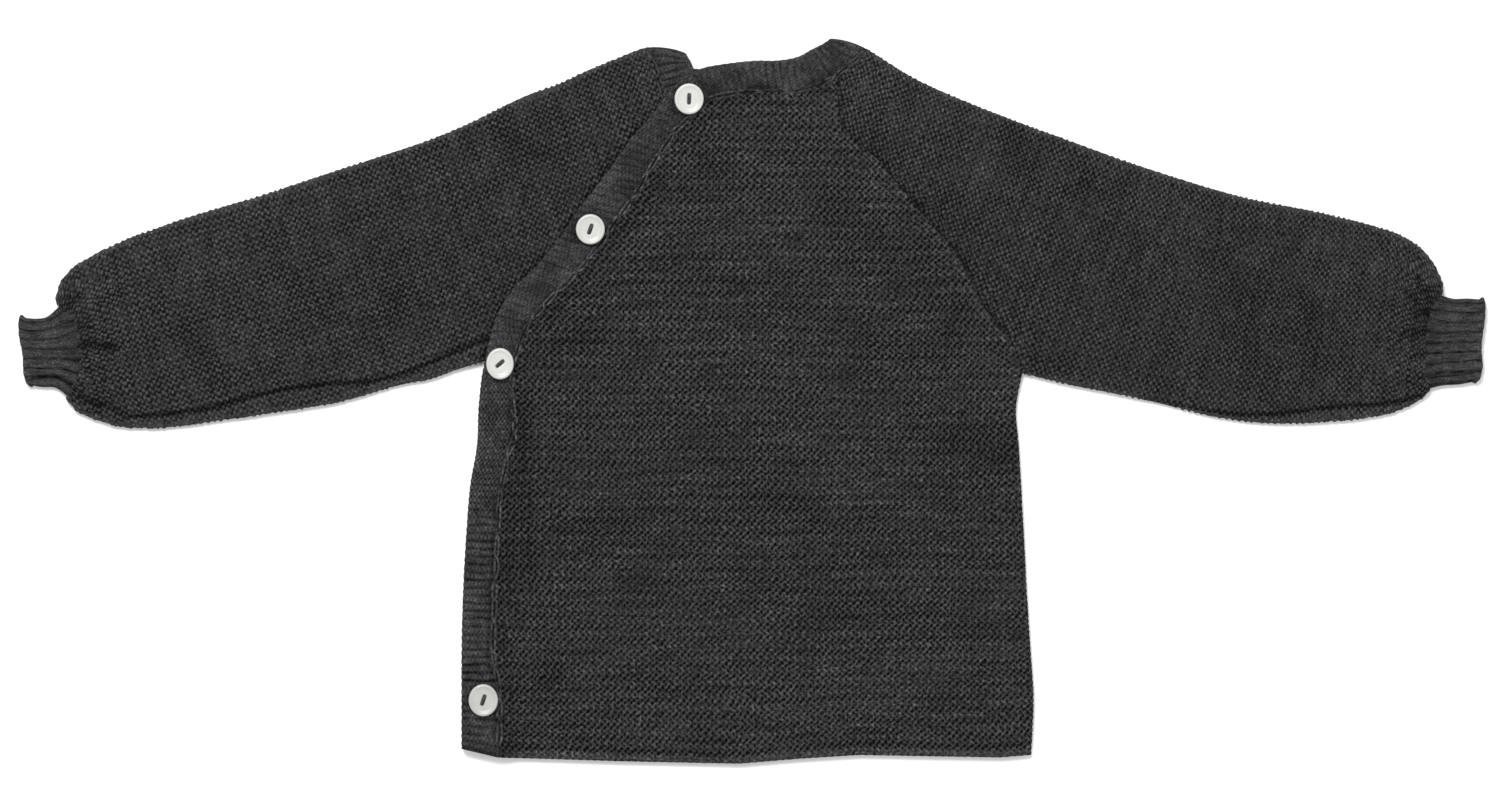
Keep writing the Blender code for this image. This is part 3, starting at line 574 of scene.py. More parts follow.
def panelRows(left, right, rows, step, beside):
    # a flat panel in rows from edge to edge: next to each edge a few columns that follow it, between them
    # the wales' own columns. Where a row holds more columns than the next, one face takes them in.
    xl, xr = np.interp(rows, left[:, 1], left[:, 0]), np.interp(rows, right[:, 1], right[:, 0])
    slantL, slantR = np.hypot(1, np.gradient(xl, rows)), np.hypot(1, np.gradient(xr, rows))
    share = np.arange(len(beside)) / len(beside) * 0.45
    edgeL = xl[:, None] + np.minimum(np.outer(slantL, beside), np.outer(xr - xl, share))
    edgeR = xr[:, None] - np.minimum(np.outer(slantR, beside), np.outer(xr - xl, share))
    first = np.ceil(edgeL[:, -1] / step + 0.35).astype(int)
    last = np.floor(edgeR[:, -1] / step - 0.35).astype(int)
    columns = np.arange(first.min(), last.max() + 1)
    kept = (columns >= first[:, None]) & (columns <= last[:, None])
    index = np.full(kept.shape, -1)
    index[kept] = np.arange(kept.sum())
    count, (rowCount, besideCount) = int(kept.sum()), edgeL.shape
    indexL = count + np.arange(edgeL.size).reshape(edgeL.shape)
    indexR = indexL + edgeL.size
    x = np.concatenate([np.broadcast_to(columns * step, kept.shape)[kept], edgeL.ravel(), edgeR.ravel()])
    rowOf = np.concatenate([np.broadcast_to(np.arange(rowCount)[:, None], kept.shape)[kept],
                            np.repeat(np.arange(rowCount), besideCount),
                            np.repeat(np.arange(rowCount), besideCount)])
    y = rows[rowOf]
    middle = gridFaces(index)
    middle = middle[(middle >= 0).all(1)]
    ends = {}
    start = columns[0]
    for j in range(rowCount - 1):
        lower = index[j, first[j] - start:last[j] - start + 1]
        upper = index[j + 1, first[j + 1] - start:last[j + 1] - start + 1]
        m, n = max(first[j], first[j + 1]), min(last[j], last[j + 1])
        rim = [indexL[j, -1]], [indexL[j + 1, -1]], [indexR[j, -1]], [indexR[j + 1, -1]]
        if m > n:
            face = [*rim[0], *lower, *rim[2], *rim[3], *upper[::-1], *rim[1]]
            ends.setdefault(len(face), []).append(face)
            continue
        face = [*rim[0], *lower[:m - first[j] + 1], *upper[:m - first[j + 1] + 1][::-1], *rim[1]]
        ends.setdefault(len(face), []).append(face)
        face = [*lower[n - first[j]:], *rim[2], *rim[3], *upper[n - first[j + 1]:][::-1]]
        ends.setdefault(len(face), []).append(face)
    bottom = np.concatenate([indexL[0], index[0][index[0] >= 0], indexR[0, ::-1]])
    top = np.concatenate([indexR[-1], index[-1][index[-1] >= 0][::-1], indexL[-1, ::-1]])
    outline = np.concatenate([bottom, indexR[1:, 0], top[1:], indexL[-2::-1, 0]])
    rowShare = (rows - rows[0]) / (rows[-1] - rows[0])
    outlineAt = np.concatenate([(x[bottom] - xl[0]) / (xr[0] - xl[0]), 1 + rowShare[1:],
                                2 + (xr[-1] - x[top[1:]]) / (xr[-1] - xl[-1]), 3 + 1 - rowShare[-2::-1]])
    return {
        "x": x, "y": y, "faces": [middle, gridFaces(indexL), gridFaces(indexR[:, ::-1]), *ends.values()],
        "fromLeft": (x - xl[rowOf]) / slantL[rowOf], "fromRight": (xr[rowOf] - x) / slantR[rowOf],
        "fromHem": y - rows[0], "outlines": [(outline, outlineAt)],
    }


def besideHem(step):
    # rows of a panel: three close together along the hem, then evenly on the ridges
    start = math.ceil((panel["hemLevel"] + panel["evenFrom"]) / step) * step
    return np.concatenate([panel["hemLevel"] + np.array(panel["hemRows"]), np.arange(start, panelTop, step)])


def denseEdge(line, corners=()):
    # an edge as a smooth curve with a point every half millimetre, always rising
    dense = evenLine(line, int(lengthAlong(line)[-1] * 2), corners)
    dense[:, 1] = np.maximum.accumulate(dense[:, 1] + np.arange(len(dense)) * 1e-6)
    return dense


def levelled(line):
    # an edge with the hem's curve taken out, as the rows of a panel count their height
    line = line.copy()
    line[:, 1] -= hemBow(line[:, 0], line[:, 1])
    line[0, 1] = panel["hemLevel"]
    return line


seamStretch = denseEdge(bandSeam)
frontLeft = denseEdge(np.vstack([levelled(bandSeam), neckFront[1:, :2]]), corners=(21,))
plainEdge = denseEdge(levelled(plainSide), corners=(underarm,))

frontLook = {
    # creases: x1 y1 x2 y2, half width, depth (below 0 a ridge)
    "creases": [
        (-84, -52, -40, -47, 5.0, 0.35), (-60, -74, 40, -66, 4.0, 0.18), (-92, -2, -88, -72, 3.2, 0.55),
        (-74, 26, -58, 24, 5.0, 0.45), (74, -14, 106, -20, 7.0, 0.5), (76, 22, 84, 40, 6.0, 0.5),
        (28, 78, 52, 62, 8.0, 0.4), (-20, 66, 20, 60, 6.0, -0.35), (-30, 20, 40, 14, 9.0, -0.4),
        (-84, -112, -74, -106, 5.0, 0.5), (20, -84, 90, -92, 5.0, 0.22), (-40, -128, 60, -122, 6.0, -0.35),
        (98, -60, 104, -120, 5.0, -0.35), (-10, -30, 30, -50, 9.0, 0.3),
    ],
    # patches of painted shade (above 0) and of painted light (below 0): x y, radius, amount
    "shadeAndLightPlaces": [
        (-20, 117, 6, -0.5), (-92, -2, 8, 0.4), (-94, -50, 6, 0.35), (-95, -68, 7, 0.35), (-72, 24, 8, 0.4),
        (-84, -112, 10, 0.3), (-30, 60, 14, 0.15), (60, 60, 16, 0.2), (92, -30, 12, 0.2),
        (30, -20, 20, -0.12), (-20, -100, 22, -0.1), (60, -110, 20, -0.1),
    ],
    "seed": 20, "lift": 0.75, "waviness": 0.32, "scallop": 0.22, "hemScallop": 0.07,
    # how each edge rounds down: its radius and its fall
    "sleeveEdge": (1.5, 1.3), "seamEdge": (1.4, 1.2), "hemEdge": (1.6, 1.5),
    # ridges along the edges, and lines of painted shade and of painted light along them: how far in, width,
    # amount
    "sleeveRidge": (1.9, 0.9, 0.35), "hemRidge": (1.5, 1.0, 0.25), "besideSeamShade": (4.0, 3.5, 0.55),
    "seamLine": (0.0, 1.5, 0.9), "sleeveLine": (0.0, 0.6, 1.1), "sleeveRidgeLight": (1.9, 0.9, 0.45),
    "hemLine": (4.4, 0.9, 0.5), "hemPaler": (1.5, 2.6),
}
backLook = {
    "creases": [
        (-80, -100, 60, -84, 7.0, -0.45), (-30, 10, 70, -14, 8.0, -0.5), (10, -40, 90, -60, 6.0, -0.4),
        (-60, 50, 10, 30, 7.0, -0.4), (0, 96, 30, 84, 5.0, -0.3), (-100, -50, -60, -30, 6.0, -0.35),
    ],
    "seed": 50, "relief": 0.9, "sleeveEdge": (1.5, 1.3), "hemEdge": (1.6, 1.4),
}


def softLine(distance, place, width, amount):
    # a soft line of this width and amount that follows an edge at a distance from it
    return amount * bell(distance - place, width)


def aboveUnderarm(y, before=6):
    # 0 beside the fold of the side and 1 beside the sleeve's seam
    return ease((y - plainSide[underarm, 1] + before) / 8)


def nearNeck(y):
    # 0 along the sleeves' seams, rising to 1 where the neckband starts
    return ease((y - 98) / 14)


def backLift(x, y):
    return np.maximum(troughs(x, y, backLook["creases"]), 0)


def frontLift(x, y):
    # what the creases and the cloth's own waviness add to the front's height
    own = frontLook["waviness"] * softNoise(x, y * 1.6, 34.0, 3) + 0.12 * softNoise(x, y * 2.2, 11.0, 4)
    return frontLook["lift"] + own + troughs(x, y, frontLook["creases"])


def frontMiddle(x, y):
    # height of the front's middle: level with the band beside it, and down on the back further in
    seam = np.interp(y, seamStretch[:, 1], seamStretch[:, 0]) + np.maximum(y - bandSeam[-1, 1], 0) * 0.9
    slant = np.hypot(1, np.interp(y, seamStretch[:, 1], np.gradient(seamStretch[:, 0], seamStretch[:, 1])))
    down = ease(1 - (x - seam) / slant / cloth["settle"])
    free = ease((x - seam) / slant / 16) * ease((y - panel["hemLevel"]) / 12)
    return highLayer + (topLayer - highLayer) * down + free * (frontLift(x, y) - 0.3) * (1 - down)


def stitchPlace(x, y, seed):
    # wales and ridges with small wanderings, since no knitted row is quite straight
    u = x / stitch["wale"] + 0.12 * softNoise(x, y, 9.0, seed) + 0.18 * softNoise(x, y, 2.9, seed + 1)
    v = y / stitch["ridge"] + 0.12 * softNoise(x, y, 7.0, seed + 2) + 0.17 * softNoise(x, y, 2.5, seed + 3)
    return u + 0.35 * softNoise(x, y, 33.0, seed + 4), v + 0.45 * softNoise(x, y, 28.0, seed + 5)


def stitchStrength(x, y, seed):
    # some rows and patches of the knit stand out more than others
    patches = 0.2 * softNoise(x, y, 8.0, seed) + 0.18 * softNoise(x / 9, y, stitch["ridge"], seed + 1)
    return 0.9 + patches


def outerPanel(left, columnsPerWale, seed):
    # the outside of a panel, fine enough for its stitches
    rows = besideHem(stitch["ridge"] / panel["rowsPerRidge"])
    outer = panelRows(left, plainEdge, rows, stitch["wale"] / columnsPerWale, panel["besideEdge"])
    outer["uv"] = np.stack(stitchPlace(outer["x"], outer["y"], seed), 1)
    return outer


def sideInset(line):
    # how far the inside stays back at each height, further where a side folds
    return np.stack([np.where(line[:, 1] < panel["insetHeight"], *panel["insets"]), 0 * line[:, 1]], 1)


def innerPanel(left, seed, heightOf):
    # the inside of a panel, without stitches
    rows = np.append(np.arange(panel["hemLevel"] + panel["insideFrom"], panelTop, stitch["ridge"]), panelTop)
    inner = panelRows(left, plainEdge - sideInset(plainEdge), rows, stitch["wale"], panel["besideInside"])
    x, y = inner["x"], inner["y"]
    inner["xyz"] = np.stack([x, y + hemBow(x, y), heightOf(x, y)], 1)
    inner["uv"] = np.stack(stitchPlace(x, y, seed), 1)
    return inner


def sheetArea(surface):
    # the flat area of a panel's plan, in square metres, from its outline by the sum of cross products
    line = surface["xyz"][surface["outlines"][0][0], :2] * mm
    ahead = np.roll(line, -1, axis=0)
    return abs((line[:, 0] * ahead[:, 1] - line[:, 1] * ahead[:, 0]).sum()) / 2


def makeFront():
    look = frontLook
    outer = outerPanel(frontLeft, panel["columnsPerWale"], look["seed"])
    x, y, (u, v) = outer["x"], outer["y"], outer["uv"].T
    fromRight, fromLeft, fromHem = outer["fromRight"], outer["fromLeft"], outer["fromHem"]
    raglan = aboveUnderarm(y)
    fall = edgeFall(fromRight, cloth["fold"], cloth["fold"] + panel["overlap"]) * (1 - raglan)
    radius, drop = look["sleeveEdge"]
    fall += edgeFall(fromRight, radius, drop - 0.5 * nearNeck(y)) * raglan
    fall -= raglan * softLine(fromRight, *look["sleeveRidge"])
    fall += edgeFall(fromLeft, *look["seamEdge"]) + edgeFall(fromHem, *look["hemEdge"])
    relief = linksStitch(u, v, bodyKnit) * stitch["height"] * stitchStrength(x, y, 30)
    relief = relief * ease(np.minimum(fromRight, fromLeft) / 0.8 + 0.25) * ease(fromHem / 3.0 - 0.6)
    z = frontMiddle(x, y) + cloth["half"] - fall + relief + softLine(fromHem, *look["hemRidge"])
    nudge = look["scallop"] * np.cos(2 * np.pi * v) * ease(1 - fromRight / 1.2)
    hemNudge = look["hemScallop"] * np.cos(2 * np.pi * u) * ease(1 - fromHem / 1.2)
    outer["xyz"] = np.stack([x + nudge * (1 - raglan), y + hemBow(x, y) + hemNudge, z], 1)
    inner = innerPanel(frontLeft + [0.5, 0.0], look["seed"], lambda x, y: frontMiddle(x, y) - cloth["half"])

    # painted shade beside the band and right at its seam, in the valleys of creases, as a broken line at the
    # sleeve's seam and in places; painted light on the creases' ridges, on the ridge beside the sleeve's seam
    # and in places; paler along the hem, a darker line above it, and random patches of tone
    openedAndShaded = softLine(fromLeft, *look["besideSeamShade"]) * (0.6 + 0.6 * softNoise(x, y, 12.0, 33))
    openedAndShaded = openedAndShaded + creaseShade(troughs(x, y, look["creases"])) + spots(x, y, look["shadeAndLightPlaces"])
    openedAndShaded = openedAndShaded + 0.17 * softNoise(x / 3.5, y, 5.0, 35) + 0.22 * softNoise(x / 7, y, stitch["ridge"], 36)
    broken = np.clip(0.55 + 1.1 * softNoise(x, y, 7.5, 37), 0, 1.6)
    sleeveSide = broken * softLine(fromRight, *look["sleeveLine"])
    sleeveSide = sleeveSide - softLine(fromRight, *look["sleeveRidgeLight"])
    openedAndShaded = openedAndShaded + softLine(fromLeft, *look["seamLine"]) + raglan * sleeveSide
    start, wide = look["hemPaler"]
    openedAndShaded = openedAndShaded - ease(start - fromHem / wide) + softLine(fromHem, *look["hemLine"])
    front = makePiece("front_cloth", *loopShell(outer, inner), knit, "knit", ["front"], openedAndShaded)
    return front, sheetArea(outer)


cover = np.where(np.arange(len(bodyRows)) > underarm, bandCover, 0)[:, None]
backRowsEdge = bandEdge + (bandSeam - bandEdge) * cover
armholeEdge = backRowsEdge[underarm:bandEnd + 1]
backLeft = np.vstack([levelled(backRowsEdge)[:bandEnd + 1], neckBack[:0:-1, :2], neckBack[:1, :2]])
backLeft = denseEdge(backLeft, corners=(underarm, bandEnd))


def makeBack():
    look = backLook
    outer = outerPanel(backLeft, panel["backColumnsPerWale"], look["seed"])
    x, y, (u, v) = outer["x"], outer["y"], outer["uv"].T
    fromRight, fromLeft, fromHem = outer["fromRight"], outer["fromLeft"], outer["fromHem"]
    side = 1 - aboveUnderarm(y)
    fold = cloth["fold"] + panel["overlap"]
    fall = edgeFall(fromHem, *look["hemEdge"])
    for fromEdge in (fromRight, fromLeft):
        fall += edgeFall(fromEdge, cloth["fold"], fold) * side
        fall += edgeFall(fromEdge, *look["sleeveEdge"]) * (1 - side)
    relief = (1 - linksStitch(u, v, bodyKnit)) * stitch["height"] * look["relief"]
    relief = relief * ease(np.minimum(np.minimum(fromRight, fromLeft), fromHem) / 0.8 + 0.25)
    z = lowLayer - cloth["half"] + relief + np.minimum(fall, fold) + backLift(x, y)
    nudge = frontLook["scallop"] * np.cos(2 * np.pi * v) * side
    nudge = nudge * (ease(1 - fromRight / 1.2) - ease(1 - fromLeft / 1.2))
    outer["xyz"] = np.stack([x + nudge, y + hemBow(x, y), z], 1)
    inner = innerPanel(backLeft + sideInset(backLeft), look["seed"],
                       lambda x, y: lowLayer + cloth["half"] + backLift(x, y))
    back = makePiece("back_cloth", *loopShell(outer, inner), knit, "knit", ["back"])
    return back, sheetArea(outer)


front, frontArea = makeFront()
back, backArea = makeBack()
print("front and back made")


def stripShell(seam, free, height, look, lift=None, bulges=()):
    # a strip between two lines, given at each row with the height of its middle: on both faces the surface
    # is the middle moved along its own normal, thinner towards the edges, with ribs across the strip.
    # seam, free: rows x 2; the free edge is nudged in and out by the ribs. A bulge pushes the middle of the
    # rows around one place outwards
    shares = np.sin(np.linspace(-0.5, 0.5, look["columns"]) * np.pi) * 0.5 + 0.5
    shares = 0.6 * shares + 0.4 * np.linspace(0, 1, look["columns"])
    plan = seam[:, None] + (free - seam)[:, None] * shares[None, :, None]
    rowsAlong = lengthAlong(plan[:, look["columns"] // 2])
    for place, push in bulges:
        near = bell(rowsAlong - rowsAlong[place], 3.5)[:, None] * 4 * shares * (1 - shares)
        plan = plan + near[:, :, None] * push
    middle = np.dstack([plan, np.broadcast_to(height[:, None], plan.shape[:2])])
    if lift is not None:
        middle[:, :, 2] += lift(middle[:, :, 0], middle[:, :, 1])
    at = lengthAlong(middle[:, look["columns"] // 2])
    width = np.linalg.norm(free - seam, axis=1)[:, None]
    fromSeam, fromFree = shares * width, (1 - shares) * width
    normals = unit(np.cross(np.gradient(middle, axis=1), np.gradient(middle, axis=0)))

    # u counts the ribs, a little closer over the stretch between the two closer places, and v the courses
    comes, goes, over = look["closerPlaces"]
    pitch = look["pitch"] - look["closer"] * (ease((at - comes) / over) - ease((at - goes) / over))
    turns = np.cumsum(np.gradient(at) / pitch)
    u = turns[:, None] + 0.16 * softNoise(at[:, None] + 0 * shares, fromSeam, 6.0, look["seed"])
    v = fromSeam / look["course"] + 0 * u
    strength = 0.75 + 0.35 * softNoise(at[:, None] + 0 * fromSeam, fromSeam * 0.5, 9.0, look["seed"] + 1)
    ribs = np.cos(2 * np.pi * u) * look["rib"] * strength
    ends = edgeFall(at, 1.3, look["endFalls"][0]) + edgeFall(at[-1] - at, 1.3, look["endFalls"][1])
    fall = edgeFall(fromFree, look["round"], look["edgeFall"]) + edgeFall(fromSeam, 1.0, 0.7) + ends[:, None]
    half = np.maximum(cloth["half"] - fall, 0.12)
    push = look["scallop"] * np.cos(2 * np.pi * u) * ease(1 - fromFree / 2.0)
    middle = middle + np.dstack([unit(free - seam)[:, None] * push[:, :, None], np.zeros_like(push)])
    top = middle + normals * (half + ribs)[:, :, None]
    bottom = middle - normals * (half + ribs * look["underRib"])[:, :, None]
    index = np.arange(u.size).reshape(u.shape)
    ring = np.concatenate([index[0], index[1:, -1], index[-1, -2::-1], index[-2::-1, 0]])
    quads, count = gridFaces(index), u.size
    rim = np.stack([ring[:-1], ring[1:], ring[1:] + count, ring[:-1] + count], 1)[:, ::-1]
    vertices = np.vstack([top.reshape(-1, 3), bottom.reshape(-1, 3)])
    uv = np.vstack([np.stack([u, v], -1).reshape(-1, 2)] * 2)
    shell = vertices, [quads, quads[:, ::-1] + count, rim], uv
    area = float((width[:, 0] * np.gradient(at)).sum()) * mm * mm

    # painted shade along the seam, painted light along the free edge, paler near the hem, with soft patches
    # darker and lighter
    start, end = look["seamShade"]
    place, over = look["seamShadeFrom"]
    seamShade = start + (end - start) * ease((at - place) / over)
    place, over = look["palerUntil"]
    openedAndShaded = seamShade[:, None] * bell(fromSeam - 1.5, 0.7) + 0.1 * bell(fromSeam, 3.0)
    openedAndShaded = openedAndShaded - 0.5 * bell(fromFree, 2.3) - look["paler"] * (1 - ease((at - place) / over))[:, None]
    for share, size, seed in ((1.0, 5.0, 3), (0.6, 14.0, 4)):
        patches = softNoise(middle[:, :, 0], middle[:, :, 1], size, look["seed"] + seed)
        openedAndShaded = openedAndShaded + share * look["patches"] * patches
    return shell, np.tile(openedAndShaded.ravel(), 2), (at[-1] * mm, float(width.max()) * mm), area


bandLook = {
    "columns": 16, "rowStep": 0.5, "pitch": 3.1, "course": 1.3, "rib": 0.2, "underRib": 0.5, "scallop": 0.12,
    "round": 1.6, "edgeFall": 0.75, "endFalls": (0.8, 0.0), "seed": 70, "patches": 0.75,
    # how strong the painted shade beside the seam is below and above a place, and the stretches of closer
    # ribs
    # and of paler stitches: where each starts or ends and how gradually, in millimetres from the hem
    "seamShade": (1.3, 0.6), "seamShadeFrom": (85, 25), "closer": 0.65, "closerPlaces": (92, 150, 14),
    "paler": 0.25, "palerUntil": (150, 20), "buttonDip": 0.35,
}


def bandLift(x, y):
    # the upper band dips a little under each button and lies unevenly between them
    dips = sum(np.exp(-((x - bx) ** 2 + (y - by) ** 2) / 60) for bx, by, turned in buttonPlaces)
    return 0.30 * softNoise(x, y, 16.0, 71) + 0.2 - bandLook["buttonDip"] * dips


def evenRows(rows, at, step):
    # the rows of a strip spaced evenly along it
    return smoothLine(rows, at, np.linspace(0, at[-1], int(at[-1] / step)))


def makeButtonholeBand():
    at = lengthAlong((bandEdge + bandSeam) / 2)
    both = evenRows(np.hstack([bandSeam, bandEdge]), at, bandLook["rowStep"])
    height = np.full(len(both), topLayer)
    shell, openedAndShaded, flat, area = stripShell(both[:, :2], both[:, 2:], height, bandLook, bandLift)
    band = makePiece("buttonhole_band_cloth", *shell, rib, "rib", ["buttonhole_band"], openedAndShaded)
    return band, flat, area


buttonBandLook = dict(bandLook, round=cloth["fold"], edgeFall=0.9, seed=80, columns=12, rowStep=0.9,
                      endFalls=(0.8, 0.8))


def makeButtonBand():
    # under the upper band; down the side its edge curls to meet the back
    edge, seam, band = backRowsEdge[:bandEnd + 1], bandSeam[:bandEnd + 1], bandEdge[:bandEnd + 1]
    free = band + (seam - band) * bandUnderlap
    both = evenRows(np.hstack([free, edge]), lengthAlong((edge + free) / 2), buttonBandLook["rowStep"])
    height = np.full(len(both), highLayer)

    def curl(x, y):
        toEdge = np.linalg.norm(np.dstack([x, y]) - both[:, None, 2:], axis=2)
        return -edgeFall(toEdge, cloth["fold"], 1.0) * (1 - aboveUnderarm(both[:, 3], 4))[:, None]
    shell, openedAndShaded, flat, area = stripShell(both[:, :2], both[:, 2:], height, buttonBandLook, curl)
    return makePiece("button_band_cloth", *shell, rib, "rib", ["button_band"], openedAndShaded), flat, area


def foldRows(fold, neighbour, angles):
    # rows that carry the neckband round a folded edge, on a half circle of the cloth's bend
    step = neighbour - fold
    heading = unit(fold[2:] - fold[:2])
    depthSeam = abs(heading[0] * step[1] - heading[1] * step[0])
    depthFree = abs(heading[0] * step[3] - heading[1] * step[2])
    turn = np.radians(angles)
    inset = cloth["fold"] - cloth["bend"] * np.cos(turn)
    rise = (lowLayer + highLayer) / 2 + cloth["bend"] * np.sin(turn)
    return np.column_stack([fold[:2] + np.outer(inset / depthSeam, step[:2]),
                            fold[2:] + np.outer(inset / depthFree, step[2:]), rise])


neckLook = dict(bandLook, seamShade=(0.6, 0.6), closer=0.0, paler=0.0, pitch=2.85, rib=0.11, underRib=1.0,
                scallop=0.07, seed=90, round=1.3, edgeFall=0.65, columns=15, rowStep=0.45,
                endFalls=(0.0, 0.8), bulge=1.0)


def withHeight(rows, height):
    rows = np.atleast_2d(rows)
    return np.column_stack([rows, np.broadcast_to(height, len(rows))])


def makeNeckband():
    fromBand = np.linalg.norm(neckFront[:, :2] - neckFront[0, :2], axis=1)
    beside = ease(1 - fromBand / 10)
    settled = highLayer + (topLayer - highLayer) * ease(1 - fromBand / cloth["settle"]) + 0.25 * (1 - beside)
    middles = (neckFront[:, :2] + neckFront[:, 2:]) / 2
    settled = settled + bandLift(middles[:, 0], middles[:, 1]) * beside
    corner = backRowsEdge[bandEnd]
    turns = np.array([90, 54, 18, -18, -54, -90])
    rows = np.vstack([
        withHeight(neckFront, settled), withHeight(neckPlainSleeve, highLayer),
        foldRows(plainFold, neckPlainSleeve[0], turns), withHeight(neckPlainSleeve, lowLayer),
        withHeight(neckBack, lowLayer), withHeight([*corner, *neckCornerFree], lowLayer),
        withHeight(neckButtonSleeve, lowLayer), foldRows(buttonFold, neckButtonSleeve[-1], -turns),
        withHeight(neckButtonSleeve[-1], highLayer),
        withHeight([*neckButtonSleeve[0, :2], *underEndFree[0]], highLayer),
        withHeight([*corner, *underEndFree[1]], highLayer)])
    middle = np.column_stack([(rows[:, :2] + rows[:, 2:4]) / 2, rows[:, 4]])
    at = lengthAlong(middle)
    fine = evenRows(rows, at, neckLook["rowStep"])
    fine[:, 4] = np.clip(fine[:, 4], lowLayer, topLayer + 0.3)
    bulges = []
    for fold, turned in ((plainFold, 13), (buttonFold, 31)):
        across = unit(fold[2:] - fold[:2])
        out = np.array([-across[1], across[0]])
        place = int(round(at[turned] / at[-1] * (len(fine) - 1)))
        bulges.append((place, out * np.sign(out[1]) * neckLook["bulge"]))
    shell, openedAndShaded, flat, area = stripShell(fine[:, :2], fine[:, 2:4], fine[:, 4], neckLook, bulges=bulges)
    return makePiece("neckband_cloth", *shell, neckRib, "rib", ["neckband"], openedAndShaded), flat, area


buttonholeBand, holeBandFlat, holeBandArea = makeButtonholeBand()
buttonBand, bandFlat, bandArea = makeButtonBand()
neckband, neckFlat, neckArea = makeNeckband()
print("bands made")


def tubeSurface(plan, columns, lowColumns, lift, drop, thick):
    # one surface of a flattened tube: over the plan from its first edge to its last, round a half circle,
    # back underneath and round again. thick is the surface's distance outside the cloth's middle (below 0
    # inside it). Returns its points, each one's share across and whether it is on the upper side.
    radius = cloth["bend"] + thick
    inset = cloth["fold"]
    turns = np.radians([75, 45, 15, -15, -45, -75])
    upper = np.linspace(0, 1, columns)
    lower = np.linspace(1, 0, lowColumns)
    first, last = plan[:, 0], plan[:, -1]
    width = np.linalg.norm(last - first, axis=1)[:, None]
    centre = (lowLayer + highLayer) / 2
    insetShare = inset / width
    across = [insetShare + upper * (1 - 2 * insetShare), 1 - insetShare + radius * np.cos(turns) / width,
              insetShare + lower * (1 - 2 * insetShare), insetShare - radius * np.cos(turns) / width]
    rise = [np.full(columns, radius), radius * np.sin(turns), np.full(lowColumns, -radius),
            -radius * np.sin(turns)]
    side = [np.ones(columns), np.sin(turns) * 0.5 + 0.5, np.zeros(lowColumns), 0.5 - np.sin(turns) * 0.5]
    share = np.hstack(across)
    height = np.broadcast_to(np.concatenate(rise), share.shape)
    upness = np.broadcast_to(np.concatenate(side), share.shape)
    k = np.clip(share * (plan.shape[1] - 1), 0, plan.shape[1] - 1.001)
    i = np.floor(k).astype(int)
    row = np.arange(len(plan))[:, None]
    f = (k - i)[:, :, None]
    place = plan[row, i] * (1 - f) + plan[row, i + 1] * f
    beyond = np.where(share < 0, share, np.where(share > 1, share - 1, 0))[:, :, None]
    place = place + beyond * (last - first)[:, None]
    z = centre + height + lift(place[:, :, 0], place[:, :, 1], share, row) * upness
    z = z + drop(place[:, :, 0], place[:, :, 1], share, row) * (1 - upness)
    return np.dstack([place, z]), share, upness


def tubeNormals(surface):
    # outward directions on a tube, across its rings and along it
    around = np.roll(surface, -1, axis=1) - np.roll(surface, 1, axis=1)
    normals = unit(np.cross(np.gradient(surface, axis=0), around))
    upper = normals[:, :surface.shape[1] // 4, 2].mean()
    return normals * np.sign(upper)


def ringFaces(index):
    return gridFaces(np.hstack([index, index[:, :1]]))


def tubeShell(outer, inner, uvOuter, uvInner):
    # the closed shell between two rings of surface, joined at both ends
    surfaces = []
    for surface, uv in ((outer, uvOuter), (inner, uvInner)):
        index = np.arange(surface.shape[0] * surface.shape[1]).reshape(surface.shape[:2])
        around = np.linspace(0, 1, surface.shape[1] + 1)
        arc = np.append(0, np.cumsum(np.linalg.norm(np.diff(surface[0][:, :2], axis=0), axis=1)))
        around[:-1] = arc / (arc[-1] + 2)
        near, far = np.append(index[0], index[0, 0]), np.append(index[-1], index[-1, 0])
        surfaces.append({"xyz": surface.reshape(-1, 3), "uv": uv.reshape(-1, 2), "faces": [ringFaces(index)],
                         "outlines": [(near, around), (far[::-1], 1 - around[::-1])]})
    return loopShell(*surfaces)


# tucks that run into each cuff: place across the sleeve, where up its length they start, width, depth
tucks = [(0.20, 0.90, 5.0, 0.8), (0.30, 0.93, 3.5, 0.6), (0.42, 0.84, 6.0, 1.5), (0.52, 0.88, 4.0, 1.1),
         (0.62, 0.91, 3.5, 0.7), (0.72, 0.87, 5.5, 1.0), (0.83, 0.93, 3.5, 0.6)]
sleeveLook = {
    "rows": 330, "columns": 170, "lowColumns": 56, "planColumns": 90, "insideColumns": 44, "insideRows": 4,
    "height": 0.32, "tuckIn": 1.0, "foldLight": 1.5, "seamFade": 14,
    # where along the sleeve the gathers start and are drawn in, and how far they puff
    "gatherFrom": 0.72, "drawnFrom": 0.94, "puff": 0.8, "morePuff": 2.0,
}


def tubePlan(table, start, end, rows, columns, corners=()):
    # the plan of a tube between its two sides, which the table's rows give, and its length
    at = lengthAlong((table[:, :2] + table[:, 2:]) / 2)
    edges = smoothLine(table, at, np.linspace(0, at[-1], rows))
    first, last = evenLine(start, columns, corners), evenLine(end, columns)
    return coonsGrid(first, last, edges[:, :2], edges[:, 2:]), at[-1]


def distanceTo(line, x, y):
    # signed height above a line whose x always grows, across its slope
    order = np.argsort(line[:, 0])
    line = evenLine(line[order], 120)
    slope = np.gradient(line[:, 1], line[:, 0])
    return (y - np.interp(x, line[:, 0], line[:, 1])) / np.hypot(1, np.interp(x, line[:, 0], slope))


